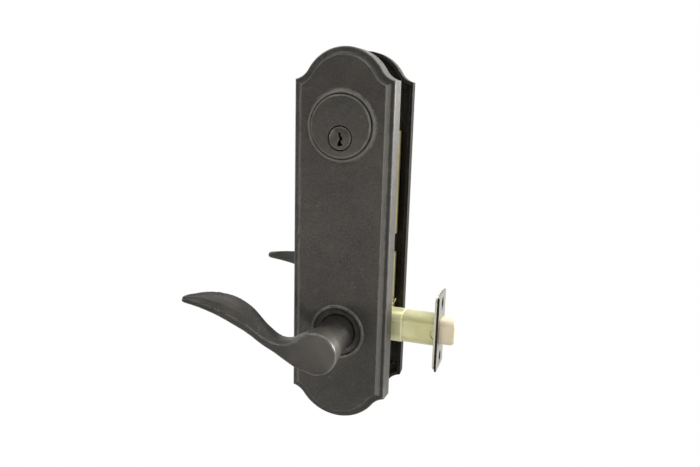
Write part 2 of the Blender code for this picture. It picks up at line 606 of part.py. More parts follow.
def make_chassis(name, side, zinc):
    """Pressed steel mounting sheet inside a plate, lipped along both long edges and pierced."""
    bm = bmesh.new()
    low, high = -CHASSIS_BOTTOM, CHASSIS_TOP
    corners = ((CHASSIS_HALF_WIDTH, low), (CHASSIS_HALF_WIDTH, high), (-CHASSIS_HALF_WIDTH, high),
               (-CHASSIS_HALF_WIDTH, low))
    verts = [bm.verts.new((x, side * CHASSIS_Y, z)) for x, z in corners]
    face = bm.faces.new(verts)
    edges = [edge for edge in bm.edges if abs(edge.verts[0].co.x - edge.verts[1].co.x) < 1e-6]
    bmesh.ops.recalc_face_normals(bm, faces=bm.faces)
    for edge in edges:
        turned = bmesh.ops.extrude_edge_only(bm, edges=[edge])["geom"]
        moved = [item for item in turned if isinstance(item, bmesh.types.BMVert)]
        bmesh.ops.translate(bm, vec=(0, side * CHASSIS_LIP, 0), verts=moved)
    if face.normal.y * side < 0:
        bmesh.ops.reverse_faces(bm, faces=bm.faces)
    mesh = bpy.data.meshes.new(name)
    bm.to_mesh(mesh)
    bm.free()
    sheet = bpy.data.objects.new(name, mesh)
    wall = sheet.modifiers.new("sheet", "SOLIDIFY")
    wall.thickness = CHASSIS_THICKNESS
    wall.offset = 1
    wall.use_even_offset = True
    near, far = side * (CHASSIS_Y - 0.003), side * (CHASSIS_Y + 0.004)
    beyond = CHASSIS_HALF_WIDTH + 0.004
    lip_end = side * (CHASSIS_Y + CHASSIS_LIP + CHASSIS_THICKNESS + 0.002)
    for number, (start, end) in enumerate(CHASSIS_NOTCHES):
        for edge, inner, outer in (("right", CHASSIS_WAIST, beyond), ("left", -beyond, -CHASSIS_WAIST)):
            notch = bar_object("%s_notch_%s_%d" % (name, edge, number), (inner, min(near, lip_end), start),
                               (outer, max(near, lip_end), end))
            cut(sheet, notch)
    hub = CLIP_OUTER_RADIUS + 0.0010
    cut(sheet, rod_object(name + "_hub_hole", hub, near, far, steps=HOLE_STEPS))
    if side < 0:
        cut(sheet, rod_object(name + "_upper_hole", CYLINDER_BODY_RADIUS + SEAT_GAP, near, far,
                              z=CYLINDER_Z, steps=HOLE_STEPS))
    else:
        cut(sheet, rod_object(name + "_upper_hole", TURN_SHAFT_RADIUS + RUN_GAP, near, far,
                              z=PLUG_Z, steps=SHAFT_STEPS))
        for tag, x in (("left", -CYLINDER_BOLT_X), ("right", CYLINDER_BOLT_X)):
            hole = rod_object(name + "_bolt_hole_" + tag, SCREW_RADIUS + SEAT_GAP, near, far,
                              x=x, z=CYLINDER_BOLT_Z, steps=SMALL_STEPS)
            cut(sheet, hole)
    for number, height in enumerate(PLATE_SCREW_HEIGHTS):
        hole = rod_object("%s_screw_hole_%d" % (name, number), SCREW_RADIUS + SEAT_GAP, near, far,
                          z=height, steps=SMALL_STEPS)
        cut(sheet, hole)
    for tag, z in (("upper", THROUGH_BOLT_Z), ("lower", -THROUGH_BOLT_Z)):
        hole = rod_object("%s_through_hole_%s" % (name, tag), THROUGH_BOLT_RADIUS + SEAT_GAP, near, far,
                          z=z, steps=SMALL_STEPS)
        cut(sheet, hole)
    return finish_part(sheet, zinc)


def screw_object(name, radius, head_y, tip_y, x, z, head_radius=SCREW_HEAD_RADIUS):
    """Pan-head screw along Y with a straight slot: the head's underside is at head_y."""
    outward = 1 if head_y > tip_y else -1
    top = head_y + outward * SCREW_HEAD_HEIGHT
    profile = ((0, top), (head_radius * 0.6, top), (head_radius, top - outward * SCREW_HEAD_HEIGHT * 0.6),
               (head_radius, head_y), (radius, head_y), (radius, tip_y), (0, tip_y))
    screw = turned_object(name, profile, x=x, z=z, side=1, steps=SMALL_STEPS)
    low, high = sorted((top - outward * SLOT_DEPTH, top + outward * 0.001))
    slot = bar_object(name + "_slot", (x - head_radius * 1.2, low, z - SLOT_WIDTH / 2),
                      (x + head_radius * 1.2, high, z + SLOT_WIDTH / 2))
    return cut(screw, slot)


def make_fasteners(bronze, zinc):
    """Plate screws, chassis screws and the bolts that run through the door."""
    cylinder_back = FIELD_Y + CYLINDER_FACE_PROUD - CYLINDER_FACE_THICKNESS - CYLINDER_BODY_LENGTH
    chassis_front = CHASSIS_Y + CHASSIS_THICKNESS
    for tag, height in zip(("upper", "lower"), PLATE_SCREW_HEIGHTS):
        plate_screw = screw_object("plate_screw_" + tag, SCREW_RADIUS, FIELD_Y + SEAT_GAP,
                                   CHASSIS_Y - PLATE_SCREW_PAST, 0, height)
        finish_part(plate_screw, bronze)
        chassis_screw = screw_object("chassis_screw_" + tag, SCREW_RADIUS, -(CHASSIS_Y - SEAT_GAP),
                                     -(FIELD_BACK_Y - POST_THREAD_END), 0, height)
        finish_part(chassis_screw, zinc)
    for tag, x in (("left", -CYLINDER_BOLT_X), ("right", CYLINDER_BOLT_X)):
        bolt = screw_object("cylinder_bolt_" + tag, SCREW_RADIUS, chassis_front + SEAT_GAP,
                            -(cylinder_back + BOLT_THREAD_LENGTH), x, CYLINDER_BOLT_Z, CYLINDER_BOLT_HEAD)
        finish_part(bolt, zinc)
    for tag, z in (("upper", THROUGH_BOLT_Z), ("lower", -THROUGH_BOLT_Z)):
        bolt = screw_object("through_bolt_" + tag, THROUGH_BOLT_RADIUS, chassis_front + SEAT_GAP,
                            -(chassis_front + BOLT_END_PROUD), 0, z)
        finish_part(bolt, zinc)


def coil_object(name, radius, wire, turns, start, length, y, z, material, parent=None):
    """Compression coil along X, swept along a helix."""
    curve = bpy.data.curves.new(name + "_path", "CURVE")
    curve.dimensions = "3D"
    curve.bevel_depth = wire
    curve.bevel_resolution = 0
    curve.use_fill_caps = True
    strand = curve.splines.new("POLY")
    count = turns * COIL_STEPS + 1
    strand.points.add(count - 1)
    for i in range(count):
        angle = 2 * math.pi * i / COIL_STEPS
        point = (start + length * i / (count - 1), y + radius * math.cos(angle), z + radius * math.sin(angle))
        strand.points[i].co = (*point, 1)
    path = bpy.data.objects.new(name + "_path", curve)
    bpy.context.scene.collection.objects.link(path)
    bpy.context.view_layer.update()
    solid = path.evaluated_get(bpy.context.evaluated_depsgraph_get())
    mesh = bpy.data.meshes.new_from_object(solid)
    bpy.data.objects.remove(path, do_unlink=True)
    bm = bmesh.new()
    bm.from_mesh(mesh)
    bmesh.ops.remove_doubles(bm, verts=bm.verts, dist=1e-6)
    return finish_part(mesh_object(name, bm), material, parent)


def rounded_rectangle(half_width, half_height, corner, steps=5):
    """Outline with round corners, as (y, z) points."""
    points = []
    for turn, (sy, sz) in enumerate(((1, 1), (-1, 1), (-1, -1), (1, -1))):
        centre = (sy * (half_width - corner), sz * (half_height - corner))
        points += arc_points(centre, corner, turn * 90, turn * 90 + 90, steps)
    return points


def prism_along_x(name, outline, x_near, x_far):
    """A straight prism along X from an outline in Y and Z."""
    return loft_object(name, [[Vector((x, y, z)) for y, z in outline] for x in (x_near, x_far)])


def make_latch_case(zinc):
    """Pressed tube with flat sides that ends in the backing plate, with a fatter rear sleeve and hub holes."""
    front = BACKSET - LATCH_FACE_THICKNESS - SEAT_GAP
    outer = [(-CASE_REAR, CASE_SLEEVE), (CASE_SLEEVE_END - CASE_SLEEVE, CASE_SLEEVE), (CASE_SLEEVE_END, 0.0),
             (front, 0.0)]
    rings = []
    for x, grow in outer:
        outline = rounded_rectangle(CASE_HALF_WIDTH + grow, CASE_HALF_HEIGHT + grow, CASE_CORNER + grow)
        rings.append([Vector((x, y, z)) for y, z in outline])
    case = loft_object("latch_case", rings)
    inside = rounded_rectangle(CASE_HALF_WIDTH - CASE_WALL, CASE_HALF_HEIGHT - CASE_WALL,
                               CASE_CORNER - CASE_WALL)
    cut(case, prism_along_x("case_bore", inside, -CASE_REAR - 0.002, front + 0.002))
    cut(case, rod_object("case_hub_hole", HUB_RADIUS + RUN_GAP, -HUB_HOLE_REACH, HUB_HOLE_REACH,
                         steps=SHAFT_STEPS))
    return finish_part(case, zinc)


def make_latch_plates(nickel, zinc):
    """Backing plate and face plate at the door's edge, with two empty countersunk screw holes."""
    face_back = BACKSET - LATCH_FACE_THICKNESS
    backing_front = face_back - SEAT_GAP
    bolt_hole = rounded_rectangle(BOLT_HALF_WIDTH + RUN_GAP, BOLT_HALF_HEIGHT + RUN_GAP, BOLT_CORNER)
    case_hole = rounded_rectangle(CASE_HALF_WIDTH + SEAT_GAP, CASE_HALF_HEIGHT + SEAT_GAP,
                                  CASE_CORNER + SEAT_GAP)
    backing_back = backing_front - BACKING_THICKNESS
    specs = (("latch_backing", BACKING_CORNER, backing_back, backing_front, case_hole, zinc),
             ("latch_face", FACE_CORNER, face_back, BACKSET, bolt_hole, nickel))
    for name, corner, back, front, hole, material in specs:
        outline = rounded_rectangle(LATCH_FACE_WIDTH / 2, LATCH_FACE_HEIGHT / 2, corner)
        plate = prism_along_x(name, outline, back, front)
        cut(plate, prism_along_x(name + "_hole", hole, back - 0.002, front + 0.002))
        for tag, z in (("upper", FACE_SCREW_PITCH), ("lower", -FACE_SCREW_PITCH)):
            rings = []
            for x, grow in ((back - 0.001, 0.0), (front - 0.0010, 0.0), (front + 0.0004, 0.0014)):
                ring = [Vector((x, (FACE_SCREW_RADIUS + grow) * math.cos(a),
                                z + (FACE_SCREW_RADIUS * FACE_SCREW_STRETCH + grow) * math.sin(a)))
                        for a in [2 * math.pi * i / SMALL_STEPS for i in range(SMALL_STEPS)]]
                rings.append(ring)
            cut(plate, loft_object("%s_screw_hole_%s" % (name, tag), rings))
        finish_part(plate, material)


def make_latch_bolt(bolt_metal, parent):
    """Spring bolt: a straight bar with a rounded end, cut to a slant on the inside."""
    tip = BACKSET + BOLT_THROW
    outline = rounded_rectangle(BOLT_HALF_WIDTH, BOLT_HALF_HEIGHT, BOLT_CORNER, 4)
    rings = [[Vector((BOLT_REAR, y, z)) for y, z in outline]]
    for degrees in (0, 35, 65, 90):
        angle = math.radians(degrees)
        x = tip - BOLT_TIP_ROUND * (1 - math.sin(angle))
        share = 1 - BOLT_TIP_ROUND * (1 - math.cos(angle)) / BOLT_HALF_HEIGHT
        rings.append([Vector((x, y * share, z * share)) for y, z in outline])
    bolt = loft_object("latch_bolt", rings)
    start = BACKSET + BOLT_BEVEL_START
    past = 0.002
    near = Vector((start - past, BOLT_HALF_WIDTH + past * BOLT_BEVEL_SLOPE))
    far = Vector((tip + past, BOLT_HALF_WIDTH - (tip + past - start) * BOLT_BEVEL_SLOPE))
    wedge = [[Vector((x, y, z)) for x, y in (near, far, (far.x, near.y))]
             for z in (-BOLT_HALF_HEIGHT - past, BOLT_HALF_HEIGHT + past)]
    cut(bolt, loft_object("bolt_slant", wedge))
    return finish_part(bolt, bolt_metal, parent)


def make_draw_bar(steel, parent):
    """Flat bar behind the bolt, with a hooked end that the hub pulls."""
    bar = bar_object("draw_bar", (DRAW_BAR_END, -DRAW_BAR_HALF_WIDTH, -DRAW_BAR_HALF_HEIGHT),
                     (BOLT_REAR - SEAT_GAP, DRAW_BAR_HALF_WIDTH, DRAW_BAR_HALF_HEIGHT))
    hook = bar_object("draw_hook", (DRAW_BAR_END, -DRAW_BAR_HALF_WIDTH, -DRAW_BAR_HALF_HEIGHT - HOOK_RISE),
                      (DRAW_BAR_END + HOOK_LENGTH, DRAW_BAR_HALF_WIDTH, DRAW_BAR_HALF_HEIGHT + HOOK_RISE))
    join(bar, hook)
    return finish_part(bar, steel, parent)


def make_latch_hub(steel, parent):
    """Round hub in the latch, broached square for the spindle."""
    half_width = CASE_HALF_WIDTH + CASE_SLEEVE
    hub = rod_object("latch_hub", HUB_RADIUS, -half_width, half_width, steps=SHAFT_STEPS)
    half = SPINDLE_SIZE / 2 + SEAT_GAP
    cut(hub, bar_object("hub_broach", (-half, -half_width - 0.002, -half), (half, half_width + 0.002, half)))
    return finish_part(hub, steel, parent)


def make_spindle(steel, parent):
    """Square bar through the door from lever to lever."""
    half = SPINDLE_SIZE / 2
    spindle = bar_object("spindle", (-half, -SPINDLE_END, -half), (half, SPINDLE_END, half))
    return finish_part(spindle, steel, parent)


def make_axis(name, location):
    """An empty on a joint's axis, which carries the pieces that move there."""
    empty = bpy.data.objects.new(name, None)
    empty.location = location
    LOCK.objects.link(empty)
    bpy.context.view_layer.update()
    return empty


def build_lock():
    bronze = make_material("dark_bronze", (0.052, 0.048, 0.041), 0.55, 0.35)
    zinc = make_material("yellow_zinc", (0.55, 0.50, 0.26), 0.35, 0.9)
    nickel = make_material("satin_nickel", (0.62, 0.59, 0.54), 0.35, 0.9)
    bolt_metal = make_material("plated_bolt", (0.66, 0.60, 0.48), 0.45, 0.6)
    steel = make_material("plain_steel", (0.42, 0.41, 0.39), 0.4, 0.9)

    lever_axis = make_axis("lever_axis", (0, 0, 0))
    bolt_axis = make_axis("bolt_axis", (BACKSET, 0, 0))
    key_axis = make_axis("key_axis", (0, 0, PLUG_Z))

    make_exterior_plate(bronze)
    make_interior_plate(bronze)
    make_cylinder_body(bronze)
    make_key_plug(bronze, key_axis)
    make_turn_blade(steel, key_axis)
    make_turn_piece(bronze, key_axis)
    for tag, side in (("exterior", -1), ("interior", 1)):
        make_lever(tag + "_lever", side, bronze, lever_axis)
        make_set_screw(tag + "_set_screw", side, steel, lever_axis)
        make_clip(tag + "_clip", side, steel, lever_axis)
        make_bearing(tag + "_bearing", side, steel)
        make_chassis(tag + "_chassis", side, zinc)
        spring_y = side * (CHASSIS_Y - SPRING_RADIUS - SPRING_WIRE - SEAT_GAP)
        coil_object(tag + "_return_spring", SPRING_RADIUS, SPRING_WIRE, SPRING_TURNS, SPRING_START,
                    SPRING_LENGTH, spring_y, SPRING_Z, zinc)
    make_fasteners(bronze, zinc)
    make_spindle(steel, lever_axis)
    make_latch_hub(steel, lever_axis)
    make_latch_case(zinc)
    make_latch_plates(nickel, zinc)
    make_latch_bolt(bolt_metal, bolt_axis)
    make_draw_bar(steel, bolt_axis)
    coil_radius = math.hypot(DRAW_BAR_HALF_WIDTH, DRAW_BAR_HALF_HEIGHT) + LATCH_SPRING_WIRE + SEAT_GAP
    coil_object("latch_spring", coil_radius, LATCH_SPRING_WIRE, LATCH_SPRING_TURNS,
                BOLT_REAR - SEAT_GAP - LATCH_SPRING_WIRE - LATCH_SPRING_LENGTH, LATCH_SPRING_LENGTH,
                0, 0, zinc, bolt_axis)


build_lock()
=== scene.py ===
import math

import bmesh
import bpy
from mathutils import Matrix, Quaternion, Vector


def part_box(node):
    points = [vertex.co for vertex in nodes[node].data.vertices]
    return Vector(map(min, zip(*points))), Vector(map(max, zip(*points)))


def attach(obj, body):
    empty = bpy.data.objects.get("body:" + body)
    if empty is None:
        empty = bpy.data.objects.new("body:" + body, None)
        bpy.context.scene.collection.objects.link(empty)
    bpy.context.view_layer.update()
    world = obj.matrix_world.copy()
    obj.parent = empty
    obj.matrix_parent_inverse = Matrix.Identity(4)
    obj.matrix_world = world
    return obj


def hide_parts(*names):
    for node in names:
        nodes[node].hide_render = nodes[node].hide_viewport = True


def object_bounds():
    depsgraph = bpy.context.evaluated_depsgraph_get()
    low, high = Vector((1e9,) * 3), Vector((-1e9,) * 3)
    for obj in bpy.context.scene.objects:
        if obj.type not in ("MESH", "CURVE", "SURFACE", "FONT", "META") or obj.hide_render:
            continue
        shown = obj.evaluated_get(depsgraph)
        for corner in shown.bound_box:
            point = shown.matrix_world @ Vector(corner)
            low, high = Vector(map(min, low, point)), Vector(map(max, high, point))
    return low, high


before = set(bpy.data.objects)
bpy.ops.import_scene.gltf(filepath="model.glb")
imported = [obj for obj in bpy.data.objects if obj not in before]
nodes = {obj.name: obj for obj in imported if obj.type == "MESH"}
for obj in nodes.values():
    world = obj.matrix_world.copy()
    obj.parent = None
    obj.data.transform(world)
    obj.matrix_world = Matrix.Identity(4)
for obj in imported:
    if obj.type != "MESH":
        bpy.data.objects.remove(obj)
cad_low, cad_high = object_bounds()

# Photographer's set. White paper lies well below the lock, and white walls to the right, behind and above
# show in the metal, while the room on the camera's side stays dark. Five soft lamps look at the lock.
CAMERA_PLACE = Vector((0.14127, -0.44057, 0.16683))
CAMERA_AZIMUTH = math.radians(18.1)
CAMERA_ELEVATION = math.radians(12.26)
CAMERA_ROLL = math.radians(1.5)
CAMERA_LENS = 32.51
SENSOR_WIDTH = 36
FLOOR_DROP = 0.14

camera = bpy.data.objects.new("camera", bpy.data.cameras.new("camera"))
bpy.context.scene.collection.objects.link(camera)
bpy.context.scene.camera = camera
camera.data.lens = CAMERA_LENS
camera.data.sensor_width = SENSOR_WIDTH
camera.location = CAMERA_PLACE
sight = Vector((-math.sin(CAMERA_AZIMUTH) * math.cos(CAMERA_ELEVATION),
                math.cos(CAMERA_AZIMUTH) * math.cos(CAMERA_ELEVATION), -math.sin(CAMERA_ELEVATION)))
bpy.context.scene.view_settings.view_transform = "Standard"
camera.rotation_mode = "QUATERNION"
camera.rotation_quaternion = sight.to_track_quat("-Z", "Y") @ Quaternion((0, 0, 1), CAMERA_ROLL)


class Value:
    """A shader socket that can stand in a Python sum; every sum adds one Math node."""

    def __init__(self, tree, socket):
        self.tree = tree
        self.socket = socket

    def sum(self, operation, first, second=None):
        """Adds the Math node of one operation; a plain number stays as the node's own value."""
        node = self.tree.nodes.new("ShaderNodeMath")
        node.operation = operation
        for place, item in zip(node.inputs, (first, second)):
            if isinstance(item, Value):
                self.tree.links.new(item.socket, place)
            elif item is not None:
                place.default_value = item
        return Value(self.tree, node.outputs[0])

    def __add__(self, other):
        return self.sum("ADD", self, other)

    def __radd__(self, other):
        return self.sum("ADD", other, self)

    def __sub__(self, other):
        return self.sum("SUBTRACT", self, other)

    def __rsub__(self, other):
        return self.sum("SUBTRACT", other, self)

    def __mul__(self, other):
        return self.sum("MULTIPLY", self, other)

    def __rmul__(self, other):
        return self.sum("MULTIPLY", other, self)

    def __truediv__(self, other):
        return self.sum("DIVIDE", self, other)

    def __rtruediv__(self, other):
        return self.sum("DIVIDE", other, self)

    def __pow__(self, other):
        return self.sum("POWER", self, other)

    def __rpow__(self, other):
        return self.sum("POWER", other, self)

    def __abs__(self):
        return self.sum("ABSOLUTE", self)


class Nodes:
    """The nodes of one world or material; one method adds any of them."""

    def __init__(self, tree):
        self.tree = tree

    def add(self, kind, settings=None, output=0, **inputs):
        """Adds a node of any kind; its inputs go by name, or by number as i0, i1 and so on."""
        node = self.tree.nodes.new(kind)
        for key, value in (settings or {}).items():
            setattr(node, key, value)
        for key, value in inputs.items():
            socket = node.inputs[int(key[1:])] if key[0] == "i" and key[1:].isdigit() else node.inputs[key]
            if isinstance(value, Value):
                self.tree.links.new(value.socket, socket)
            else:
                socket.default_value = value
        return Value(self.tree, node.outputs[output])

    def axes(self, vector):
        return [self.add("ShaderNodeSeparateXYZ", output=axis, Vector=vector) for axis in "XYZ"]

    def larger(self, first, second):
        return self.add("ShaderNodeMath", {"operation": "MAXIMUM"}, i0=first, i1=second)


class Finish(Nodes):
    """One surface finish: a Principled shader and the patterns that vary its colour, roughness and height."""

    def __init__(self, name, roughness, metallic, **own):
        self.material = bpy.data.materials.new(name)
        self.material.use_nodes = True
        super().__init__(self.material.node_tree)
        self.shader = self.tree.nodes["Principled BSDF"]
        self.shader.inputs["Roughness"].default_value = roughness
        self.shader.inputs["Metallic"].default_value = metallic
        for socket, value in own.items():
            self.shader.inputs[socket.replace("_", " ")].default_value = value
        self.place = self.add("ShaderNodeTexCoord", output="Object")

    def noise(self, scale, detail=3.0, rough=0.5, place=None):
        return self.add("ShaderNodeTexNoise", Vector=place or self.place, Scale=scale, Detail=detail,
                        Roughness=rough)

    def cells(self, scale):
        return self.add("ShaderNodeTexVoronoi", {"feature": "F1"}, Vector=self.place, Scale=scale,
                        output="Distance")

    def ramp(self, value, low, high):
        """0 at the low value and 1 at the high one, which may be the smaller."""
        return self.add("ShaderNodeMapRange", {"clamp": True}, i0=value, i1=low, i2=high, i3=0.0, i4=1.0)

    def blend(self, amount, first, second):
        colours = [(*c, 1) if isinstance(c, tuple) else c for c in (first, second)]
        return self.add("ShaderNodeMix", {"data_type": "RGBA"}, output=2, i0=amount, i6=colours[0],
                        i7=colours[1])

    def stretch(self, x, y, z):
        return self.add("ShaderNodeMapping", Vector=self.place, Scale=(x, y, z))

    def feed(self, colour, roughness, height, depth, strength):
        bump = self.add("ShaderNodeBump", Height=height, Strength=strength, Distance=depth)
        for name, value in (("Base Color", colour), ("Roughness", roughness), ("Normal", bump)):
            self.tree.links.new(value.socket, self.shader.inputs[name])
        return self.material


def white_surround():
    """White where the camera sees it; the metal sees a lit wall on four sides and a dark room in front."""
    world = bpy.data.worlds.new("surround")
    bpy.context.scene.world = world
    world.use_nodes = True
    sky = Nodes(world.node_tree)
    side, ahead, up = sky.axes(sky.add("ShaderNodeTexCoord", output="Generated"))
    seen = sky.add("ShaderNodeLightPath", output="Is Camera Ray")
    room = SURROUND_DARK
    for toward, light in ((side, RIGHT_WALL), (side * -1, LEFT_WALL), (up, TOP_WALL), (ahead, BACK_WALL)):
        facing = sky.larger(toward, 0.0)
        room = facing * facing * light + room
    background = sky.tree.nodes["Background"].inputs
    background["Color"].default_value = (1, 1, 1, 1)
    sky.tree.links.new((seen + (1 - seen) * room).socket, background["Strength"])


SURROUND_DARK = 0.05
RIGHT_WALL = 1.7
LEFT_WALL = 0.5
TOP_WALL = 0.6
BACK_WALL = 1.4
white_surround()

floor_mesh = bmesh.new()
bmesh.ops.create_grid(floor_mesh, x_segments=1, y_segments=1, size=6)
bmesh.ops.translate(floor_mesh, vec=(0, 0, cad_low.z - FLOOR_DROP), verts=floor_mesh.verts)
floor_data = bpy.data.meshes.new("floor")
floor_mesh.to_mesh(floor_data)
floor_mesh.free()
floor = bpy.data.objects.new("floor", floor_data)
bpy.context.scene.collection.objects.link(floor)

# The floor's paper is plain white to the camera, and pale grey to the light that it throws back up.
paper = Finish("floor_paper", 0.9, 0.0, Base_Color=(0.40, 0.40, 0.40, 1))
paper_seen = paper.add("ShaderNodeLightPath", output="Is Camera Ray")
paper_lit = Value(paper.tree, paper.shader.outputs[0])
paper_white = paper.add("ShaderNodeEmission", Color=(1, 1, 1, 1), Strength=1.0)
paper_mixed = paper.add("ShaderNodeMixShader", i0=paper_seen, i1=paper_lit, i2=paper_white)
paper.tree.links.new(paper_mixed.socket, paper.tree.nodes["Material Output"].inputs["Surface"])
floor.data.materials.append(paper.material)

# Each lamp: name, place, size in metres, power in watts and colour. All of them look at the lock's middle.
LOCK_MIDDLE = Vector((0, 0, 0.06))
LAMPS = (
    ("key_box", Vector((-0.48, -0.42, 1.00)), 0.6, 3.5, (1.0, 0.96, 0.91)),
    ("top_box", Vector((0.25, 0.32, 1.00)), 0.5, 3.6, (1.0, 0.98, 0.95)),
    ("right_box", Vector((1.15, 0.70, 0.35)), 0.5, 34.0, (1.0, 0.98, 0.94)),
    ("front_card", Vector((-0.32, -0.95, -0.20)), 0.34, 3.1, (1.0, 0.92, 0.85)),
    ("fill_card", Vector((0.62, -0.80, 0.10)), 0.40, 1.6, (1.0, 0.97, 0.90)),
)
for lamp_name, lamp_place, lamp_size, lamp_power, lamp_colour in LAMPS:
    lamp_data = bpy.data.lights.new(lamp_name, "AREA")
    lamp_data.size = lamp_size
    lamp_data.energy = lamp_power
    lamp_data.color = lamp_colour
    lamp = bpy.data.objects.new(lamp_name, lamp_data)
    bpy.context.scene.collection.objects.link(lamp)
    lamp.location = lamp_place
    lamp.rotation_mode = "QUATERNION"
    lamp.rotation_quaternion = (LOCK_MIDDLE - lamp_place).to_track_quat("-Z", "Y")

# Escutcheon plates. Each is one hollow casting under a dark oil-rubbed coat, with arched ends, a low border
# that steps up to a flat field, a bead and dish round the lever, and two posts behind that hold it by screws.
PLATE_HALF_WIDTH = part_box("exterior_plate")[1].x
PLATE_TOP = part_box("exterior_plate")[1].z
PLATE_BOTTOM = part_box("exterior_plate")[0].z
RIM_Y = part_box("exterior_plate")[1].y
PLATE_DEPTH = 0.0148
FIELD_Y = PLATE_DEPTH - RIM_Y
TOP_ARCH = 0.030
BOTTOM_ARCH = 0.033
COVE = 0.014
COVE_OVERHANG = 0.0027
BORDER_STEP = 0.0031
PLATE_WALL = 0.0028
CYLINDER_Z = 0.1466
CYLINDER_FACE = 0.0215
CYLINDER_GAP = 0.0006
ROSE_BEAD = 0.0187
BEAD_HALF = (0.0015, 0.0010)
LEVER_HOLE = 0.0134
POST_HEIGHTS = (0.100, -0.032)
EDGE_ROUND = 0.0010
BORDER_WIDTH = 0.0018
BORDER_COVE = 0.0027
CREST_ROUND = 0.0003
LAST_RISE = 0.00002
SIDE_RISE = PLATE_DEPTH - BORDER_STEP - EDGE_ROUND
DRAFT_FRONT = 0.0002
DRAFT_REAR = 0.0009
RING_INSIDE = 0.0223
RING_OUTSIDE = 0.0265


def mark_edge_rub_highlight(mesh):
    """Stores how strongly each corner lies on a narrow outward edge, which the finish lightens as rubbed wear
    and painted highlight.
    """
    bm = bmesh.new()
    bm.from_mesh(mesh)
    bend = {}
    for vert in bm.verts:
        angles = [edge.calc_face_angle_signed(0) for edge in vert.link_edges if len(edge.link_faces) == 2]
        bend[vert.index] = min(1.0, max([0.0] + angles) / EDGE_FULL_BEND)
    edge_rub_highlight = []
    for face in bm.faces:
        longest = max(edge.calc_length() for edge in face.edges)
        long_edges = [edge for edge in face.edges if edge.calc_length() > LONG_SHARE * longest]
        turns = any(len(edge.link_faces) == 2 and edge.calc_face_angle(0) > EDGE_LEAST_BEND for edge in long_edges)
        narrow = turns and face.calc_area() / longest < EDGE_NARROW_WIDTH
        edge_rub_highlight += [bend[loop.vert.index] if narrow else 0.0 for loop in face.loops]
    bm.free()
    mesh.attributes.new("edge_rub_highlight", "FLOAT", "CORNER").data.foreach_set("value", edge_rub_highlight)


EDGE_FULL_BEND = 0.32
EDGE_NARROW_WIDTH = 0.00075
EDGE_LEAST_BEND = 0.03
LONG_SHARE = 0.7


def show(mesh_or_bm, name, body, finish, stands_for=(), sharp=30):
    """Makes the finished object of a piece: smooth shading, its finish, its body and what it replaces."""
    mesh = mesh_or_bm
    if isinstance(mesh_or_bm, bmesh.types.BMesh):
        bmesh.ops.recalc_face_normals(mesh_or_bm, faces=mesh_or_bm.faces)
        mesh = bpy.data.meshes.new(name)
        mesh_or_bm.to_mesh(mesh)
        mesh_or_bm.free()
    mark_edge_rub_highlight(mesh)
    mesh.materials.clear()
    mesh.materials.append(finish)
    mesh.shade_smooth()
    mesh.set_sharp_from_angle(angle=math.radians(sharp))
    piece = bpy.data.objects.new(name, mesh)
    bpy.context.scene.collection.objects.link(piece)
    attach(piece, body)
    if stands_for:
        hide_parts(*stands_for)
    return piece


def arc(centre, radius, start, end, steps):
    """Points along an arc between two angles in degrees."""
    angles = [math.radians(start + (end - start) * i / steps) for i in range(steps + 1)]
    return [(centre[0] + radius * math.cos(a), centre[1] + radius * math.sin(a)) for a in angles]


def arch_half(arch, inset, steps=12):
    """Right half of an arched end drawn in by an even inset, from the shoulder at height 0 to the crown."""
    reach = PLATE_HALF_WIDTH + COVE_OVERHANG
    cove_z = math.sqrt(COVE ** 2 - COVE_OVERHANG ** 2)
    lean = math.asin(reach / (arch + COVE))
    arch_z = cove_z - (arch + COVE) * math.cos(lean)
    corner = math.degrees(math.asin((COVE_OVERHANG + inset) / (COVE + inset)))
    lean = math.degrees(lean)
    points = arc((reach, cove_z), COVE + inset, 270 - corner, 270 - lean, steps)
    return points + arc((0, arch_z), arch - inset, 90 - lean, 90, steps * 2)[1:]


def plate_ring(bm, inset, y):
    """One closed ring of the plate's inset outline; the side walls lean by a casting's draft."""
    top = [(x, PLATE_TOP - TOP_RISE + z) for x, z in arch_half(TOP_ARCH, inset)]
    bottom = [(-x, PLATE_BOTTOM + BOTTOM_RISE - z) for x, z in arch_half(BOTTOM_ARCH, inset)]
    ring = top + [(-x, z) for x, z in reversed(top[:-1])]
    ring += bottom + [(-x, z) for x, z in reversed(bottom[:-1])]
    wall_share = min(1.0, max(0.0, (RIM_Y - y) / SIDE_RISE))
    spread = 1 + (DRAFT_REAR + (DRAFT_FRONT - DRAFT_REAR) * wall_share) / PLATE_HALF_WIDTH
    return [bm.verts.new((x * spread, y, z)) for x, z in ring]


TOP_RISE = arch_half(TOP_ARCH, 0)[-1][1]
BOTTOM_RISE = arch_half(BOTTOM_ARCH, 0)[-1][1]


def bridged(bm, rings):
    """Skins closed rings of equal count in order, and caps the two ends."""
    for first, second in zip(rings, rings[1:]):
        edges = []
        for ring in (first, second):
            for pair in zip(ring, ring[1:] + ring[:1]):
                edges.append(bm.edges.get(pair) or bm.edges.new(pair))
        bmesh.ops.bridge_loops(bm, edges=edges)
    for ring in (rings[0], rings[-1]):
        bm.faces.new(ring)
    bmesh.ops.recalc_face_normals(bm, faces=bm.faces)
    return bm


def quarter(radius, rising_first, steps=5):
    """Steps (inset, rise) of a quarter round, either rising first or running in first."""
    places = [(radius * (1 - math.cos(math.pi / 2 * i / steps)), radius * math.sin(math.pi / 2 * i / steps))
              for i in range(steps + 1)]
    if not rising_first:
        places = [(rise, inset) for inset, rise in places]
    return [(b[0] - a[0], b[1] - a[1]) for a, b in zip(places, places[1:])]


def stepped_prism(y, steps, inset=0.0):
    """A solid that grows from the plate's inset outline toward -Y by a list of (inset, rise) steps."""
    bm = bmesh.new()
    rings = [plate_ring(bm, inset, y)]
    for more, rise in steps:
        inset += more
        y -= rise
        rings.append(plate_ring(bm, inset, y))
    return bridged(bm, rings)


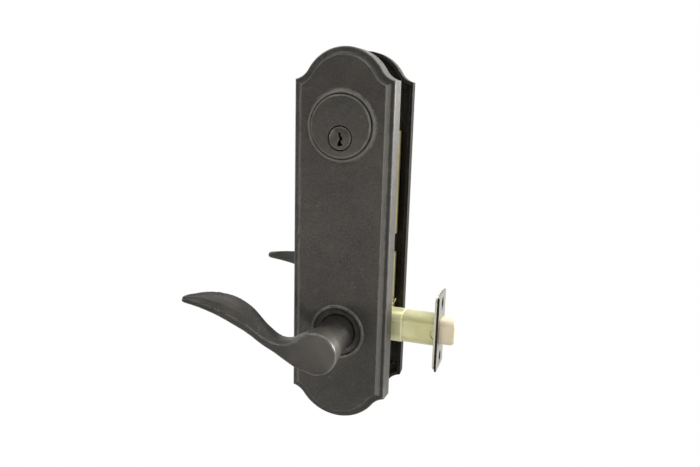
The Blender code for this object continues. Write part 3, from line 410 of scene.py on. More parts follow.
def turned(profile, x=0.0, z=0.0, steps=96):
    """Spins a profile of (radius, y) about a line along Y; a profile off the line is closed into a ring."""
    bm = bmesh.new()
    verts = [bm.verts.new((radius, y, 0)) for radius, y in profile]
    edges = [bm.edges.new(pair) for pair in zip(verts, verts[1:])]
    if profile[0][0] > 0:
        edges.append(bm.edges.new((verts[-1], verts[0])))
    bmesh.ops.spin(bm, geom=verts + edges, cent=(0, 0, 0), axis=(0, 1, 0), angle=2 * math.pi,
                   steps=steps, use_merge=True)
    bmesh.ops.remove_doubles(bm, verts=bm.verts, dist=WELD)
    bmesh.ops.translate(bm, vec=(x, 0, z), verts=bm.verts)
    bmesh.ops.recalc_face_normals(bm, faces=bm.faces)
    return bm


WELD = 1e-6


def carve(base, tools):
    """Joins to or cuts from a bmesh with a list of (operation, bmesh), and returns a plain mesh."""
    scratch = []
    for bm in [base] + [tool for _, tool in tools]:
        mesh = bpy.data.meshes.new("scratch")
        bm.to_mesh(mesh)
        bm.free()
        scratch.append(bpy.data.objects.new("scratch", mesh))
        bpy.context.scene.collection.objects.link(scratch[-1])
    for (operation, _), tool in zip(tools, scratch[1:]):
        modifier = scratch[0].modifiers.new(operation, "BOOLEAN")
        modifier.operation = operation
        modifier.solver = "EXACT"
        modifier.object = tool
    bpy.context.view_layer.update()
    solid = scratch[0].evaluated_get(bpy.context.evaluated_depsgraph_get())
    mesh = bpy.data.meshes.new_from_object(solid)
    for obj in scratch:
        bpy.data.objects.remove(obj, do_unlink=True)
    return mesh


def crisp_flats(piece, area=2e-4):
    """Marks the edges round each large flat face, so its shading stays flat right up to them."""
    bm = bmesh.new()
    bm.from_mesh(piece.data)
    for edge in bm.edges:
        faces = edge.link_faces
        if len(faces) == 2 and max(f.calc_area() for f in faces) > area:
            if faces[0].normal.angle(faces[1].normal, 0) > math.radians(0.3):
                edge.smooth = False
    bm.to_mesh(piece.data)
    bm.free()


def bronze_finish(name, dark, light, pit_strength, roughness, clouding=0.45, specks=0.5, sheen=0.5,
                  rub_and_painted_light=None):
    """Dark oil-rubbed casting: blotchy brown-black, fine pits, pale specks, and outward edges lightened as
    rubbed wear and painted highlight.

    The part for rubbing and painted light, where there is one, is called with the x, y and z sockets. It
    gives how much more the place is lightened as rubbing and painted highlight, and how much painted shade
    darkens it.
    """
    finish = Finish(name, roughness, 0.0, Specular_IOR_Level=sheen)
    broad = finish.noise(26, 4, 0.6)
    grain = finish.noise(620, 4, 0.7)
    fine = finish.noise(1500, 3, 0.6)
    pits = finish.ramp(finish.cells(760), 0.0, 0.40)
    crowd = finish.ramp(finish.noise(75, 3, 0.6), 0.42, 0.66)
    speck = finish.ramp(finish.noise(1300, 2, 0.5) + crowd * 0.09, 0.68, 0.76)
    rub_and_highlight = finish.add("ShaderNodeAttribute", {"attribute_name": "edge_rub_highlight"}, output="Fac")
    patches = finish.noise(150, 3, 0.6)
    body = finish.blend(finish.ramp(broad * clouding + grain * (1 - clouding), 0.40, 0.60), dark, light)
    if rub_and_painted_light:
        more_rub_and_highlight, painted_shade = rub_and_painted_light(finish, *finish.axes(finish.place))
        rub_and_highlight = rub_and_highlight + more_rub_and_highlight
        body = finish.blend(painted_shade, body, PAINTED_SHADE_DARK)
        roughness = painted_shade * 0.14 + roughness
    rubbed_and_highlit = finish.ramp(rub_and_highlight + (fine - 0.5) * 2.2 + (patches - 0.5) * 1.6, 0.30, 0.95)
    colour = finish.blend(finish.larger(speck * specks, rubbed_and_highlit * 0.72), body, PALE_FLECK_RUB_AND_HIGHLIGHT)
    height = grain * 0.6 + fine * 0.35 + pits * 0.55
    rough = (grain - 0.5) * 0.25 + roughness - speck * 0.10 - rubbed_and_highlit * 0.10
    return finish.feed(colour, rough, height, 0.00036, pit_strength)


def plate_rub_and_painted_light(finish, x, y, z):
    """Lightens the cylinder ring and the border's crest as rubbing and painted highlight; paints shadow on
    the latch-side border.
    """
    up = z - CYLINDER_Z
    distance = (x * x + up * up) ** 0.5
    ring = finish.ramp(distance, RING_INSIDE + 0.0001, RING_INSIDE + 0.0011)
    ring = ring * finish.ramp(distance, RING_OUTSIDE - 0.0003, RING_OUTSIDE - 0.0019)
    height = abs(y)
    crest = finish.ramp(height, FIELD_Y - 0.0001, FIELD_Y - 0.0005)
    crest = crest * finish.ramp(height, FIELD_Y - 0.0024, FIELD_Y - 0.0015)
    border = finish.ramp(height, FIELD_Y - 0.0026, FIELD_Y - 0.0030)
    border = border * finish.ramp(height, FIELD_Y - 0.0042, FIELD_Y - 0.0036)
    return (ring + crest * 0.8) * 0.5, border * finish.ramp(x, 0.0, 0.03) * 0.5


def inside_painted_shade(finish, x, y, z):
    """Paints shade on the inside plate's side wall on the latch side."""
    return 0.0, finish.ramp(x, 0.0340, 0.0350) * 0.9


# The near-black of painted shade, and the pale of specks, rubbed edges and painted highlights.
PAINTED_SHADE_DARK = (0.007, 0.0065, 0.006)
PALE_FLECK_RUB_AND_HIGHLIGHT = (0.160, 0.156, 0.140)
PLATE_BRONZE = bronze_finish("plate_bronze", (0.0165, 0.0150, 0.0127), (0.0440, 0.0402, 0.0345), 0.90, 0.40,
                             specks=0.3, rub_and_painted_light=plate_rub_and_painted_light)
# The inside plate wears a copy of the plate bronze with painted shade: a darker light tone, more roughness
# and less sheen, and its latch-side wall is darkened too.
SHADED_BRONZE = bronze_finish("inside_plate_bronze", (0.0175, 0.0152, 0.0128), (0.0400, 0.0355, 0.0305),
                              0.70, 0.52, specks=0.3, sheen=0.14, rub_and_painted_light=inside_painted_shade)

outer_steps = [(0.0, SIDE_RISE)] + quarter(EDGE_ROUND, True) + [(BORDER_WIDTH, 0.0001)]
outer_steps += quarter(BORDER_COVE, False, 9) + quarter(CREST_ROUND, True, 3) + [(CREST_ROUND, LAST_RISE)]
POCKET_RISE = PLATE_DEPTH - PLATE_WALL - BORDER_STEP
pocket_steps = [(0.0, 0.001), (0.0004, POCKET_RISE - 0.0008)] + quarter(0.0010, True, 3)
pocket_steps += [(0.0040, 0.0004), (0.0010, BORDER_STEP - 0.0006)]


def plate_form(bore_shapes):
    """The outside plate's form, built toward -Y. Coaxial turnings differ in steps, or the cuts would fail."""
    solid = stepped_prism(RIM_Y, outer_steps)
    pocket = stepped_prism(RIM_Y + 0.001, pocket_steps, PLATE_WALL - 0.0006)
    bead = [(ROSE_BEAD + BEAD_HALF[0] * math.cos(a), -(FIELD_Y - 0.0001) + BEAD_HALF[1] * math.sin(a))
            for a in [2 * math.pi * (i + 0.5) / 20 for i in range(20)]]
    tools = [("DIFFERENCE", pocket), ("UNION", turned(bead, steps=90))]
    for height in POST_HEIGHTS:
        tools.append(("UNION", turned(rod(POST_RADIUS, -POST_END, -(FIELD_Y - 0.002)), z=height, steps=40)))
    tools.append(("DIFFERENCE", turned(dish, steps=88)))
    return carve(solid, tools + bore_shapes)


def rod(radius, start, end):
    """Profile of a plain round bar along Y, to be turned."""
    return [(0, start), (radius, start), (radius, end), (0, end)]


def from_field(profile, radius=0.0):
    """A profile of (how far from a radius, how far proud of the field), as (radius, y)."""
    return [(radius + out, -(FIELD_Y + proud)) for out, proud in profile]


POST_RADIUS = 0.0042
POST_END = 0.0209
BORE_START = -0.015
TAPPED_RADIUS = 0.00205
CLEARANCE_RADIUS = 0.0022
BEYOND_FIELD = -(FIELD_Y + 0.002)
RING_RISE = 0.0022
HOUSING_HOLE = 0.0168
dish = [(0, -(FIELD_Y + 0.004))] + from_field(
    ((-0.0004, 0.004), (-0.0006, 0.0007), (-0.0012, 0.0001), (-0.0022, -0.0003)), ROSE_BEAD)
dish += from_field(((0.0016, -0.0004), (0.0003, -0.0006), (0, -0.0010), (0, -0.006)), LEVER_HOLE)
dish += [(0, -(FIELD_Y - 0.006))]
ring_form = [(0, -(FIELD_Y + 0.0004)), (0.0208, -(FIELD_Y + 0.0019))]
ring_form += [(RING_INSIDE + out, -(FIELD_Y + RING_RISE - fall)) for out, fall in (
    (0, 0.0003), (0.0003, 0.00005), (0.0008, 0), (0.0012, 0.00015), (0.0016, 0.0005), (0.0020, 0.0010),
    (0.0025, 0.00155), (0.0032, 0.0019), (0.0041, 0.00213))]
ring_form += [(RING_OUTSIDE, -(FIELD_Y - 0.001)), (0, -(FIELD_Y - 0.001))]
CYLINDER_SEAT = 0.0007
cylinder_hole = [(0, -(FIELD_Y + 0.006))]
cylinder_hole += from_field(((CYLINDER_GAP, 0.006), (CYLINDER_GAP, CYLINDER_SEAT)), CYLINDER_FACE)
cylinder_hole += from_field(((0, CYLINDER_SEAT), (0, -0.006)), HOUSING_HOLE) + [(0, -(FIELD_Y - 0.006))]
outside_bores = [("UNION", turned(ring_form, z=CYLINDER_Z, steps=94)),
                 ("DIFFERENCE", turned(cylinder_hole, z=CYLINDER_Z, steps=86))]
for tapped_z in POST_HEIGHTS:
    tapped = rod(TAPPED_RADIUS, BORE_START, -(FIELD_Y - 0.004))
    outside_bores.append(("DIFFERENCE", turned(tapped, z=tapped_z, steps=24)))
outside = show(plate_form(outside_bores), "outside_plate", "lock_body", PLATE_BRONZE,
               ("exterior_plate",))
crisp_flats(outside)

TURN_Z = (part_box("key_plug")[0].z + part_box("key_plug")[1].z) / 2
TURN_BORE = 0.0063
inside_bores = []
for screw_z in POST_HEIGHTS:
    clearance = rod(CLEARANCE_RADIUS, BORE_START, BEYOND_FIELD)
    inside_bores.append(("DIFFERENCE", turned(clearance, z=screw_z, steps=23)))
inside_bores.append(("DIFFERENCE", turned(rod(TURN_BORE, BORE_START, BEYOND_FIELD), z=TURN_Z, steps=40)))


def mirrored(mesh):
    """The same form on the other side of the door, with its faces still pointing out."""
    bm = bmesh.new()
    bm.from_mesh(mesh)
    bmesh.ops.scale(bm, vec=(1, -1, 1), verts=bm.verts)
    bmesh.ops.reverse_faces(bm, faces=bm.faces)
    bm.to_mesh(mesh)
    bm.free()
    return mesh


inside = show(mirrored(plate_form(inside_bores)), "inside_plate", "lock_body", SHADED_BRONZE,
              ("interior_plate",))
crisp_flats(inside)

# Key cylinder and plug, both metal under a dark coat. A flat-faced housing with a softened rim sits in the
# plate's ring; the plug turns in it low of the middle, and a crooked keyway is broached into its face.
CYLINDER_FRONT = -(FIELD_Y + 0.0040)
CYLINDER_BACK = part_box("cylinder_body")[1].y
PLUG_RADIUS = (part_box("key_plug")[1].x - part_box("key_plug")[0].x) / 2
PLUG_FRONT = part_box("key_plug")[0].y
PLUG_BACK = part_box("key_plug")[1].y
PLUG_GAP_FRONT = 0.0009
PLUG_GAP_BACK = 0.0003
HOUSING_RADIUS = 0.0165
DISC_THICKNESS = 0.003
BOLT_TAPPING = 0.0021
BOLT_TAPPING_DEPTH = 0.010
CYLINDER_BRONZE = bronze_finish("cylinder_bronze", (0.0220, 0.0203, 0.0176), (0.0460, 0.0428, 0.0370),
                                0.60, 0.40, specks=0.3)

housing = [(0, CYLINDER_FRONT), (0.012, CYLINDER_FRONT)]
housing += [(CYLINDER_FACE - draw_in, CYLINDER_FRONT + back) for draw_in, back in (
    (0.0016, 0), (0.0011, 0.00004), (0.0007, 0.00016), (0.0004, 0.00038), (0.00015, 0.0007), (0, 0.0012),
    (0, DISC_THICKNESS))]
housing += [(HOUSING_RADIUS, CYLINDER_FRONT + DISC_THICKNESS), (HOUSING_RADIUS, CYLINDER_BACK),
            (0, CYLINDER_BACK)]
plug_bore = [(0, CYLINDER_FRONT - 0.003), (PLUG_RADIUS + PLUG_GAP_FRONT, CYLINDER_FRONT - 0.003),
             (PLUG_RADIUS + PLUG_GAP_FRONT, CYLINDER_FRONT), (PLUG_RADIUS + 0.0008, CYLINDER_FRONT + 0.0030),
             (PLUG_RADIUS + PLUG_GAP_BACK, CYLINDER_BACK + 0.003), (0, CYLINDER_BACK + 0.003)]
housing_tools = [("DIFFERENCE", turned(plug_bore, z=TURN_Z, steps=88))]
for bolt_name in ("cylinder_bolt_left", "cylinder_bolt_right"):
    low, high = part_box(bolt_name)
    tapping = turned(rod(BOLT_TAPPING, CYLINDER_BACK + 0.003, CYLINDER_BACK - BOLT_TAPPING_DEPTH),
                     x=(low.x + high.x) / 2, z=(low.z + high.z) / 2, steps=24)
    housing_tools.append(("DIFFERENCE", tapping))
face_disc = show(carve(turned(housing, z=CYLINDER_Z), housing_tools), "cylinder_housing", "lock_body",
                 CYLINDER_BRONZE, ("cylinder_body",))
crisp_flats(face_disc, 1e-4)

# The keyway's outline, as (across, up) from the plug's middle.
KEYWAY = ((-0.0010, 0.0038), (0.0008, 0.0038), (0.0010, 0.0016), (0.0020, 0.0008), (0.0021, -0.0010),
          (0.0010, -0.0018), (0.0008, -0.0026), (0.0021, -0.0036), (0.0017, -0.0049), (-0.0009, -0.0052),
          (-0.0015, -0.0042), (-0.0010, -0.0022), (-0.0001, -0.0014), (0.0001, -0.0002), (-0.0005, 0.0010))
KEYWAY_DEPTH = 0.016
BLADE_GAP = 0.0003
keyway = bmesh.new()
slot_face = keyway.faces.new([keyway.verts.new((x, PLUG_FRONT - 0.002, TURN_Z + z)) for x, z in KEYWAY])
slot_side = bmesh.ops.extrude_face_region(keyway, geom=[slot_face])["geom"]
bmesh.ops.translate(keyway, vec=(0, KEYWAY_DEPTH, 0),
                    verts=[part for part in slot_side if isinstance(part, bmesh.types.BMVert)])
bmesh.ops.recalc_face_normals(keyway, faces=keyway.faces)


def box_shape(low, high):
    """A square-edged block between two corners."""
    bm = bmesh.new()
    bmesh.ops.create_cube(bm, size=1)
    bmesh.ops.scale(bm, vec=[high[i] - low[i] for i in range(3)], verts=bm.verts)
    bmesh.ops.translate(bm, vec=[(high[i] + low[i]) / 2 for i in range(3)], verts=bm.verts)
    return bm


def blade_hole(start, end):
    """The slot that holds the turn blade with a small gap all round, between two places along Y."""
    low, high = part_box("turn_blade")
    return box_shape((low.x - BLADE_GAP, start, low.z - BLADE_GAP),
                     (high.x + BLADE_GAP, end, high.z + BLADE_GAP))


blade_slot = blade_hole(PLUG_BACK - 0.003, PLUG_BACK + 0.001)
plug_form = [(0, PLUG_FRONT), (PLUG_RADIUS - 0.0007, PLUG_FRONT), (PLUG_RADIUS - 0.0003, PLUG_FRONT + 0.0001),
             (PLUG_RADIUS, PLUG_FRONT + 0.0005), (PLUG_RADIUS, PLUG_BACK), (0, PLUG_BACK)]
plug = show(carve(turned(plug_form, z=TURN_Z), [("DIFFERENCE", keyway), ("DIFFERENCE", blade_slot)]), "plug",
            "key_turn", CYLINDER_BRONZE, ("key_plug",))
crisp_flats(plug, 5e-5)

# Wave levers. Each is one casting under the same dark coat: a round neck that swells to a flat round head,
# and an arm that leaves the head as an upright bar and rolls over into a paddle, away from the latch.
LEVER_FRONT = -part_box("exterior_lever")[0].y
LEVER_REACH = -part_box("exterior_lever")[0].x
HEAD_RADIUS = 0.0148
TIP_SWEEP = 0.0058
NECK_END = -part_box("exterior_lever")[1].y
CLIP_GROOVE = (NECK_END + 0.0012, NECK_END + 0.0030)
ARM_ROUND = 0.0007
ARM_CROWN = 0.0013
# Each station: reach, front low, front high, rear high, rear low, and rear distance from the door middle
ARM = ((0.0040, -0.0135, 0.0130, 0.0130, -0.0130, 0.0620), (0.0120, -0.0121, 0.0084, 0.0096, -0.0118, 0.0622),
       (0.0200, -0.0084, 0.0042, 0.0048, -0.0080, 0.0630), (0.0290, -0.0036, 0.0034, 0.0048, -0.0030, 0.0640),
       (0.0390, 0.0008, 0.0068, 0.0118, 0.0018, 0.0648), (0.0500, 0.0068, 0.0127, 0.0224, 0.0082, 0.0650),
       (0.0620, 0.0116, 0.0171, 0.0286, 0.0136, 0.0650), (0.0750, 0.0160, 0.0207, 0.0305, 0.0184, 0.0650),
       (0.0880, 0.0190, 0.0232, 0.0294, 0.0208, 0.0652), (0.0970, 0.0203, 0.0243, 0.0270, 0.0215, 0.0664),
       (0.1015, 0.0209, 0.0240, 0.0252, 0.0217, 0.0680), (0.1035, 0.0218, 0.0232, 0.0236, 0.0222, 0.0695))
SWEEP_POWER = 1.3
ARM_STEPS = 5
HEAD_ROUND = 0.0008
NECK_RADIUS = 0.0125
CLIP_GROOVE_RADIUS = 0.0109
LEVER_VOXEL = 0.00045
LEVER_SOFTENING = 2
SET_SCREW_WELL = 0.0024
SET_SCREW_WELL_DEPTH = 0.012
SET_SCREW_WELL_Z = -0.0105
SPINDLE_WELL = 0.0043
SPINDLE_WELL_ENDS = (-0.0565, -0.015)
VALLEY_MIDDLE = 0.046
VALLEY_REACH = 0.018


def lever_painted_shade(finish, x, y, z):
    """Paints shade on the neck near the plate, the arm's front edge and its valley, and gives the neck less
    rubbed highlight.
    """
    near_plate = finish.ramp(abs(y), 0.0715, 0.0570)
    painted_shade_mask = finish.add("ShaderNodeAttribute", {"attribute_name": "painted_shade_mask"}, output="Fac")
    return near_plate * -0.3, near_plate * 0.66 + painted_shade_mask * 0.55


LEVER_BRONZE = bronze_finish("lever_bronze", (0.0250, 0.0232, 0.0200), (0.0600, 0.0558, 0.0482), 0.28, 0.38,
                             0.85, 0.10, rub_and_painted_light=lever_painted_shade)


def between(values, place):
    """Smooth value between the stations, by a Catmull-Rom curve."""
    index = min(int(place), len(values) - 2)
    t = place - index
    p1, p2 = values[index], values[index + 1]
    p0 = values[index - 1] if index else 2 * p1 - p2
    p3 = values[index + 2] if index + 2 < len(values) else 2 * p2 - p1
    return 0.5 * (2 * p1 + (p2 - p0) * t + (2 * p0 - 5 * p1 + 4 * p2 - p3) * t * t
                  + (3 * p1 - p0 - 3 * p2 + p3) * t ** 3)


def arm_ring(bm, place):
    """One section of the arm: four rounded corners, a crowned top and a flatter underside."""
    reach, low, high, rear_high, rear_low, rear = [between([row[i] for row in ARM], place) for i in range(6)]
    past_head = max(0.0, reach - HEAD_RADIUS) / (LEVER_REACH - HEAD_RADIUS)
    front = LEVER_FRONT - TIP_SWEEP * past_head ** SWEEP_POWER
    corners = [Vector(c) for c in ((front, low), (front, high), (rear, rear_high), (rear, rear_low))]
    ring = []
    for i, corner in enumerate(corners):
        before, after = corners[i - 1] - corner, corners[(i + 1) % 4] - corner
        bite = min(ARM_ROUND, before.length * 0.45, after.length * 0.45)
        start, end = corner + before.normalized() * bite, corner + after.normalized() * bite
        for share in (0.0, 0.25, 0.5, 0.75, 1.0):
            ring.append(start * (1 - share) ** 2 + corner * 2 * share * (1 - share) + end * share ** 2)
        lift = {1: ARM_CROWN, 3: -ARM_CROWN / 2}.get(i, 0.0)
        next_corner = corners[(i + 1) % 4]
        for share in (0.3, 0.5, 0.7):
            ring.append(corner.lerp(next_corner, share) + Vector((0, lift * 4 * share * (1 - share))))
    return [bm.verts.new((-reach, -y, z)) for y, z in ring]


head_profile = [(0, -LEVER_FRONT), (HEAD_RADIUS - 0.0006, -LEVER_FRONT),
                (HEAD_RADIUS, -LEVER_FRONT + HEAD_ROUND), (HEAD_RADIUS, -LEVER_FRONT + 0.0030),
                (HEAD_RADIUS - 0.0004, -LEVER_FRONT + 0.0110), (0.0130, -0.0570), (0.0119, -0.0490),
                (0.0120, -0.0430), (0.0124, -0.0380), (NECK_RADIUS, -0.0350)]
neck_profile = [(NECK_RADIUS, -CLIP_GROOVE[1]), (CLIP_GROOVE_RADIUS, -CLIP_GROOVE[1]),
                (CLIP_GROOVE_RADIUS, -CLIP_GROOVE[0]), (NECK_RADIUS, -CLIP_GROOVE[0]),
                (NECK_RADIUS, -NECK_END), (0, -NECK_END)]
lever_form = turned(head_profile + neck_profile)
arm_places = [i / ARM_STEPS for i in range((len(ARM) - 1) * ARM_STEPS + 1)]
bridged(lever_form, [arm_ring(lever_form, place) for place in arm_places])


def cast_over(bm, voxel, rounds):
    """Fuses overlapping forms into one skin and softens it, as a worn casting is."""
    mesh = bpy.data.meshes.new("form")
    bm.to_mesh(mesh)
    bm.free()
    form = bpy.data.objects.new("form", mesh)
    bpy.context.scene.collection.objects.link(form)
    skin = form.modifiers.new("skin", "REMESH")
    skin.mode = "VOXEL"
    skin.voxel_size = voxel
    soft = form.modifiers.new("soft", "SMOOTH")
    soft.factor = 0.5
    soft.iterations = rounds
    bpy.context.view_layer.update()
    done = bpy.data.meshes.new_from_object(form.evaluated_get(bpy.context.evaluated_depsgraph_get()))
    bpy.data.objects.remove(form, do_unlink=True)
    return done


def mark_painted_shade(mesh):
    """Stores where painted shade goes: the arm's front edge, and the valley where it rolls over."""
    painted_shade_mask = mesh.attributes.new("painted_shade_mask", "FLOAT", "POINT")
    for vert in mesh.vertices:
        along_arm = min(1.0, max(0.0, (-vert.co.x - HEAD_RADIUS) / 0.020))
        front_edge = along_arm * max(0.0, -vert.normal.y) ** 10
        valley = max(0.0, 1 - abs(-vert.co.x - VALLEY_MIDDLE) / VALLEY_REACH) * max(0.0, vert.normal.z)
        painted_shade_mask.data[vert.index].value = max(front_edge, valley * 0.8)


lever_cast = bmesh.new()
lever_cast.from_mesh(cast_over(lever_form, LEVER_VOXEL, LEVER_SOFTENING))
low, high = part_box("exterior_set_screw")
screw_well = bmesh.new()
bmesh.ops.create_cone(screw_well, cap_ends=True, segments=32, radius1=SET_SCREW_WELL, radius2=SET_SCREW_WELL,
                      depth=SET_SCREW_WELL_DEPTH)
bmesh.ops.translate(screw_well, vec=((low.x + high.x) / 2, (low.y + high.y) / 2, SET_SCREW_WELL_Z),
                    verts=screw_well.verts)
spindle_well = box_shape((-SPINDLE_WELL, SPINDLE_WELL_ENDS[0], -SPINDLE_WELL),
                         (SPINDLE_WELL, SPINDLE_WELL_ENDS[1], SPINDLE_WELL))
lever_mesh = carve(lever_cast, [("DIFFERENCE", screw_well), ("DIFFERENCE", spindle_well)])
mark_painted_shade(lever_mesh)
show(lever_mesh.copy(), "outside_lever", "lever_set", LEVER_BRONZE, ("exterior_lever",),
     sharp=40)
show(mirrored(lever_mesh), "inside_lever", "lever_set", LEVER_BRONZE, ("interior_lever",),
     sharp=40)

# Turn piece. On the inside a small cast grip with a pinched waist stands on a round foot, coated like the
# plates; its slotted shaft goes through the plate and takes the flat blade that comes from the key plug.
FOOT_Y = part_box("interior_plate")[1].y + 0.0003
GRIP_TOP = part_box("turn_piece")[1].y
GRIP_HALF = (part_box("turn_piece")[1].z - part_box("turn_piece")[0].z) / 2
FOOT_TOP = FOOT_Y + 0.0035
SHAFT_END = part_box("turn_piece")[0].y
FOOT_RADIUS = 0.0135
SHAFT_RADIUS = 0.0060
GRIP_HALF_THICKNESS = 0.0036
GRIP_STEPS = 48
GRIP_SQUARENESS = 0.7
TURN_VOXEL = 0.0004
TURN_SOFTENING = 5
# Each grip station: rise from foot to top, share of the full width, share of the full thickness
GRIP = ((-0.07, 0.62, 1.0), (0.10, 0.63, 0.93), (0.35, 0.66, 0.88), (0.55, 0.77, 0.90),
        (0.72, 0.89, 0.96), (0.86, 0.97, 1.0), (0.95, 0.99, 0.98), (1.0, 0.95, 0.90))


def grip_ring(bm, rise, spread, thick):
    """One flattened ring of the grip, facing along Y."""
    ring = []
    for i in range(GRIP_STEPS):
        a = 2 * math.pi * i / GRIP_STEPS
        flat = math.copysign(abs(math.cos(a)) ** GRIP_SQUARENESS, math.cos(a))
        ring.append(bm.verts.new((GRIP_HALF_THICKNESS * thick * flat, FOOT_TOP + rise * (GRIP_TOP - FOOT_TOP),
                                  TURN_Z + GRIP_HALF * spread * math.sin(a))))
    return ring


turn_form = turned([(0, FOOT_TOP), (0.0119, FOOT_TOP), (0.0131, FOOT_TOP - 0.0008),
                    (FOOT_RADIUS, FOOT_TOP - 0.0020), (FOOT_RADIUS, FOOT_Y), (SHAFT_RADIUS, FOOT_Y),
                    (SHAFT_RADIUS, SHAFT_END), (0, SHAFT_END)], z=TURN_Z, steps=64)
bridged(turn_form, [grip_ring(turn_form, *station) for station in GRIP])
turn_cast = bmesh.new()
turn_cast.from_mesh(cast_over(turn_form, TURN_VOXEL, TURN_SOFTENING))
blade_well = blade_hole(SHAFT_END - 0.001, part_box("turn_blade")[1].y + BLADE_GAP)
show(carve(turn_cast, [("DIFFERENCE", blade_well)]), "turn_grip", "key_turn", CYLINDER_BRONZE,
     ("turn_piece",), sharp=40)

# Spring latch. A tube pressed from pale plated steel, flat on both sides, with a fatter sleeve behind and one
# half-round lance mark by the face. Its front end is staked into a round-cornered backing plate.
CASE_HALF = (0.0093, 0.0112)
CASE_CORNER = 0.0058
CASE_WALL = 0.0011
CASE_BACK, CASE_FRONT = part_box("latch_case")[0].x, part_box("latch_case")[1].x
SLEEVE_END = 0.042
HUB_HOLE = 0.0075
LANCE_OUTSIDE, LANCE_INSIDE = 0.0038, 0.0031
LANCE_DEPTH = 0.0009
LANCE_PLACE = (CASE_FRONT - 0.0010, -0.0008)


def ring_along_x(bm, half, corner, x, steps=12):
    """One ring of a round-cornered outline that faces +X."""
    points = []
    for quarter_turn, (sy, sz) in enumerate(((1, 1), (-1, 1), (-1, -1), (1, -1))):
        centre = (sy * (half[0] - corner), sz * (half[1] - corner))
        points += arc(centre, corner, quarter_turn * 90, quarter_turn * 90 + 90, steps)
    return [bm.verts.new((x, y, z)) for y, z in points]


def prism(half, corner, stations, steps=12):
    """A solid along X; each station is (x, growth of the outline)."""
    bm = bmesh.new()
    return bridged(bm, [ring_along_x(bm, (half[0] + grow, half[1] + grow), corner + grow, x, steps)
                        for x, grow in stations])


def plated(name, colours, roughness, cloud, metallic, brushed=(1, 1, 1), stain=None, shade=None):
    """Plated steel: soft clouds of two tones, faint lines and marks, and a stain or shade where given."""
    finish = Finish(name, roughness, metallic)
    clouds = finish.noise(55, 4, 0.6)
    lines = finish.noise(900, 3, 0.6, finish.stretch(*brushed))
    marks = finish.ramp(finish.noise(260, 5, 0.7), 0.60, 0.72)
    colour = finish.blend(finish.ramp(clouds, 0.35, 0.65) * cloud, *colours)
    if stain:
        colour = finish.blend(finish.ramp(finish.noise(24, 3, 0.6), 0.52, 0.66) * 0.6, colour, stain)
    if shade:
        # A given shade is painted shade, near black.
        colour = finish.blend(shade(finish), colour, (0.02, 0.016, 0.014))
    rough = (lines - 0.5) * 0.25 + (clouds - 0.5) * 0.2 + roughness + marks * 0.06
    return finish.feed(colour, rough, lines * 0.7 + marks * 0.3, 0.00005, 0.45)


PALE_ZINC = plated("pale_zinc", ((0.82, 0.805, 0.50), (0.68, 0.67, 0.41)), 0.46, 0.75, 0.50, (0.12, 1, 1),
                   (0.50, 0.48, 0.23))
sleeve = ((CASE_BACK, 0.0004), (CASE_BACK + 0.0002, 0.0005), (SLEEVE_END - 0.0007, 0.0005),
          (SLEEVE_END - 0.0004, 0.0004), (SLEEVE_END - 0.0002, 0.0002), (SLEEVE_END, 0.0), (CASE_FRONT, 0.0))
case_bore = prism((CASE_HALF[0] - CASE_WALL, CASE_HALF[1] - CASE_WALL), CASE_CORNER - CASE_WALL,
                  ((CASE_BACK - 0.002, 0), (CASE_FRONT + 0.002, 0)), 11)
lance_floor = -CASE_HALF[0] + LANCE_DEPTH
lance = turned(((LANCE_OUTSIDE, -0.0110), (LANCE_OUTSIDE, lance_floor), (LANCE_INSIDE, lance_floor),
                (LANCE_INSIDE, -0.0110)), x=LANCE_PLACE[0], z=LANCE_PLACE[1], steps=48)
hub_hole = turned(rod(HUB_HOLE, -0.014, 0.014), steps=56)
case_tools = [("DIFFERENCE", tool) for tool in (case_bore, hub_hole, lance)]
case = show(carve(prism(CASE_HALF, CASE_CORNER, sleeve), case_tools), "latch_tube", "lock_body", PALE_ZINC,
            ("latch_case",))
crisp_flats(case, 1e-4)

# Face plates. The backing and the satin face plate are blanked from plated steel with slightly rolled edges
# and lie one on the other at the door's edge. Their oval countersunk holes stand empty, darkened by painted
# shade, and the face plate's cut edges get painted shade too.
FACE_HALF = (0.0127, 0.028575)
HOLE_Z = 0.0206
HOLE_RADIUS = 0.0024
HOLE_OVAL = 1.45
COUNTERSINK = 0.0014
WELL_STEPS = 40


def in_hole(finish, radius):
    """Painted shade in the two open screw holes."""
    _, across, height = finish.axes(finish.place)
    off = (abs(height) - HOLE_Z) / HOLE_OVAL
    distance = (across * across + off * off) ** 0.5
    return finish.ramp(distance, radius + 0.0003, radius - 0.0003)


def backing_shade(finish):
    return in_hole(finish, 0.0032)


def face_shade(finish):
    """The face plate's painted shade in its holes and along its cut edges."""
    _, across, _ = finish.axes(finish.place)
    cut_edge = finish.ramp(abs(across), FACE_HALF[0] - 0.0001, FACE_HALF[0] - 0.00005)
    return finish.larger(in_hole(finish, 0.0036), cut_edge)


def oval_well(hole_z, back, front):
    """The form of one countersunk hole through a plate."""
    well = bmesh.new()
    rings = []
    for x, grow in ((back - 0.001, 0.0), (front - 0.0010, 0.0), (front + 0.0004, COUNTERSINK)):
        across, up = HOLE_RADIUS + grow, HOLE_RADIUS * HOLE_OVAL + grow
        rings.append([well.verts.new((x, across * math.cos(a), hole_z + up * math.sin(a)))
                      for a in [2 * math.pi * i / WELL_STEPS for i in range(WELL_STEPS)]])
    return bridged(well, rings)


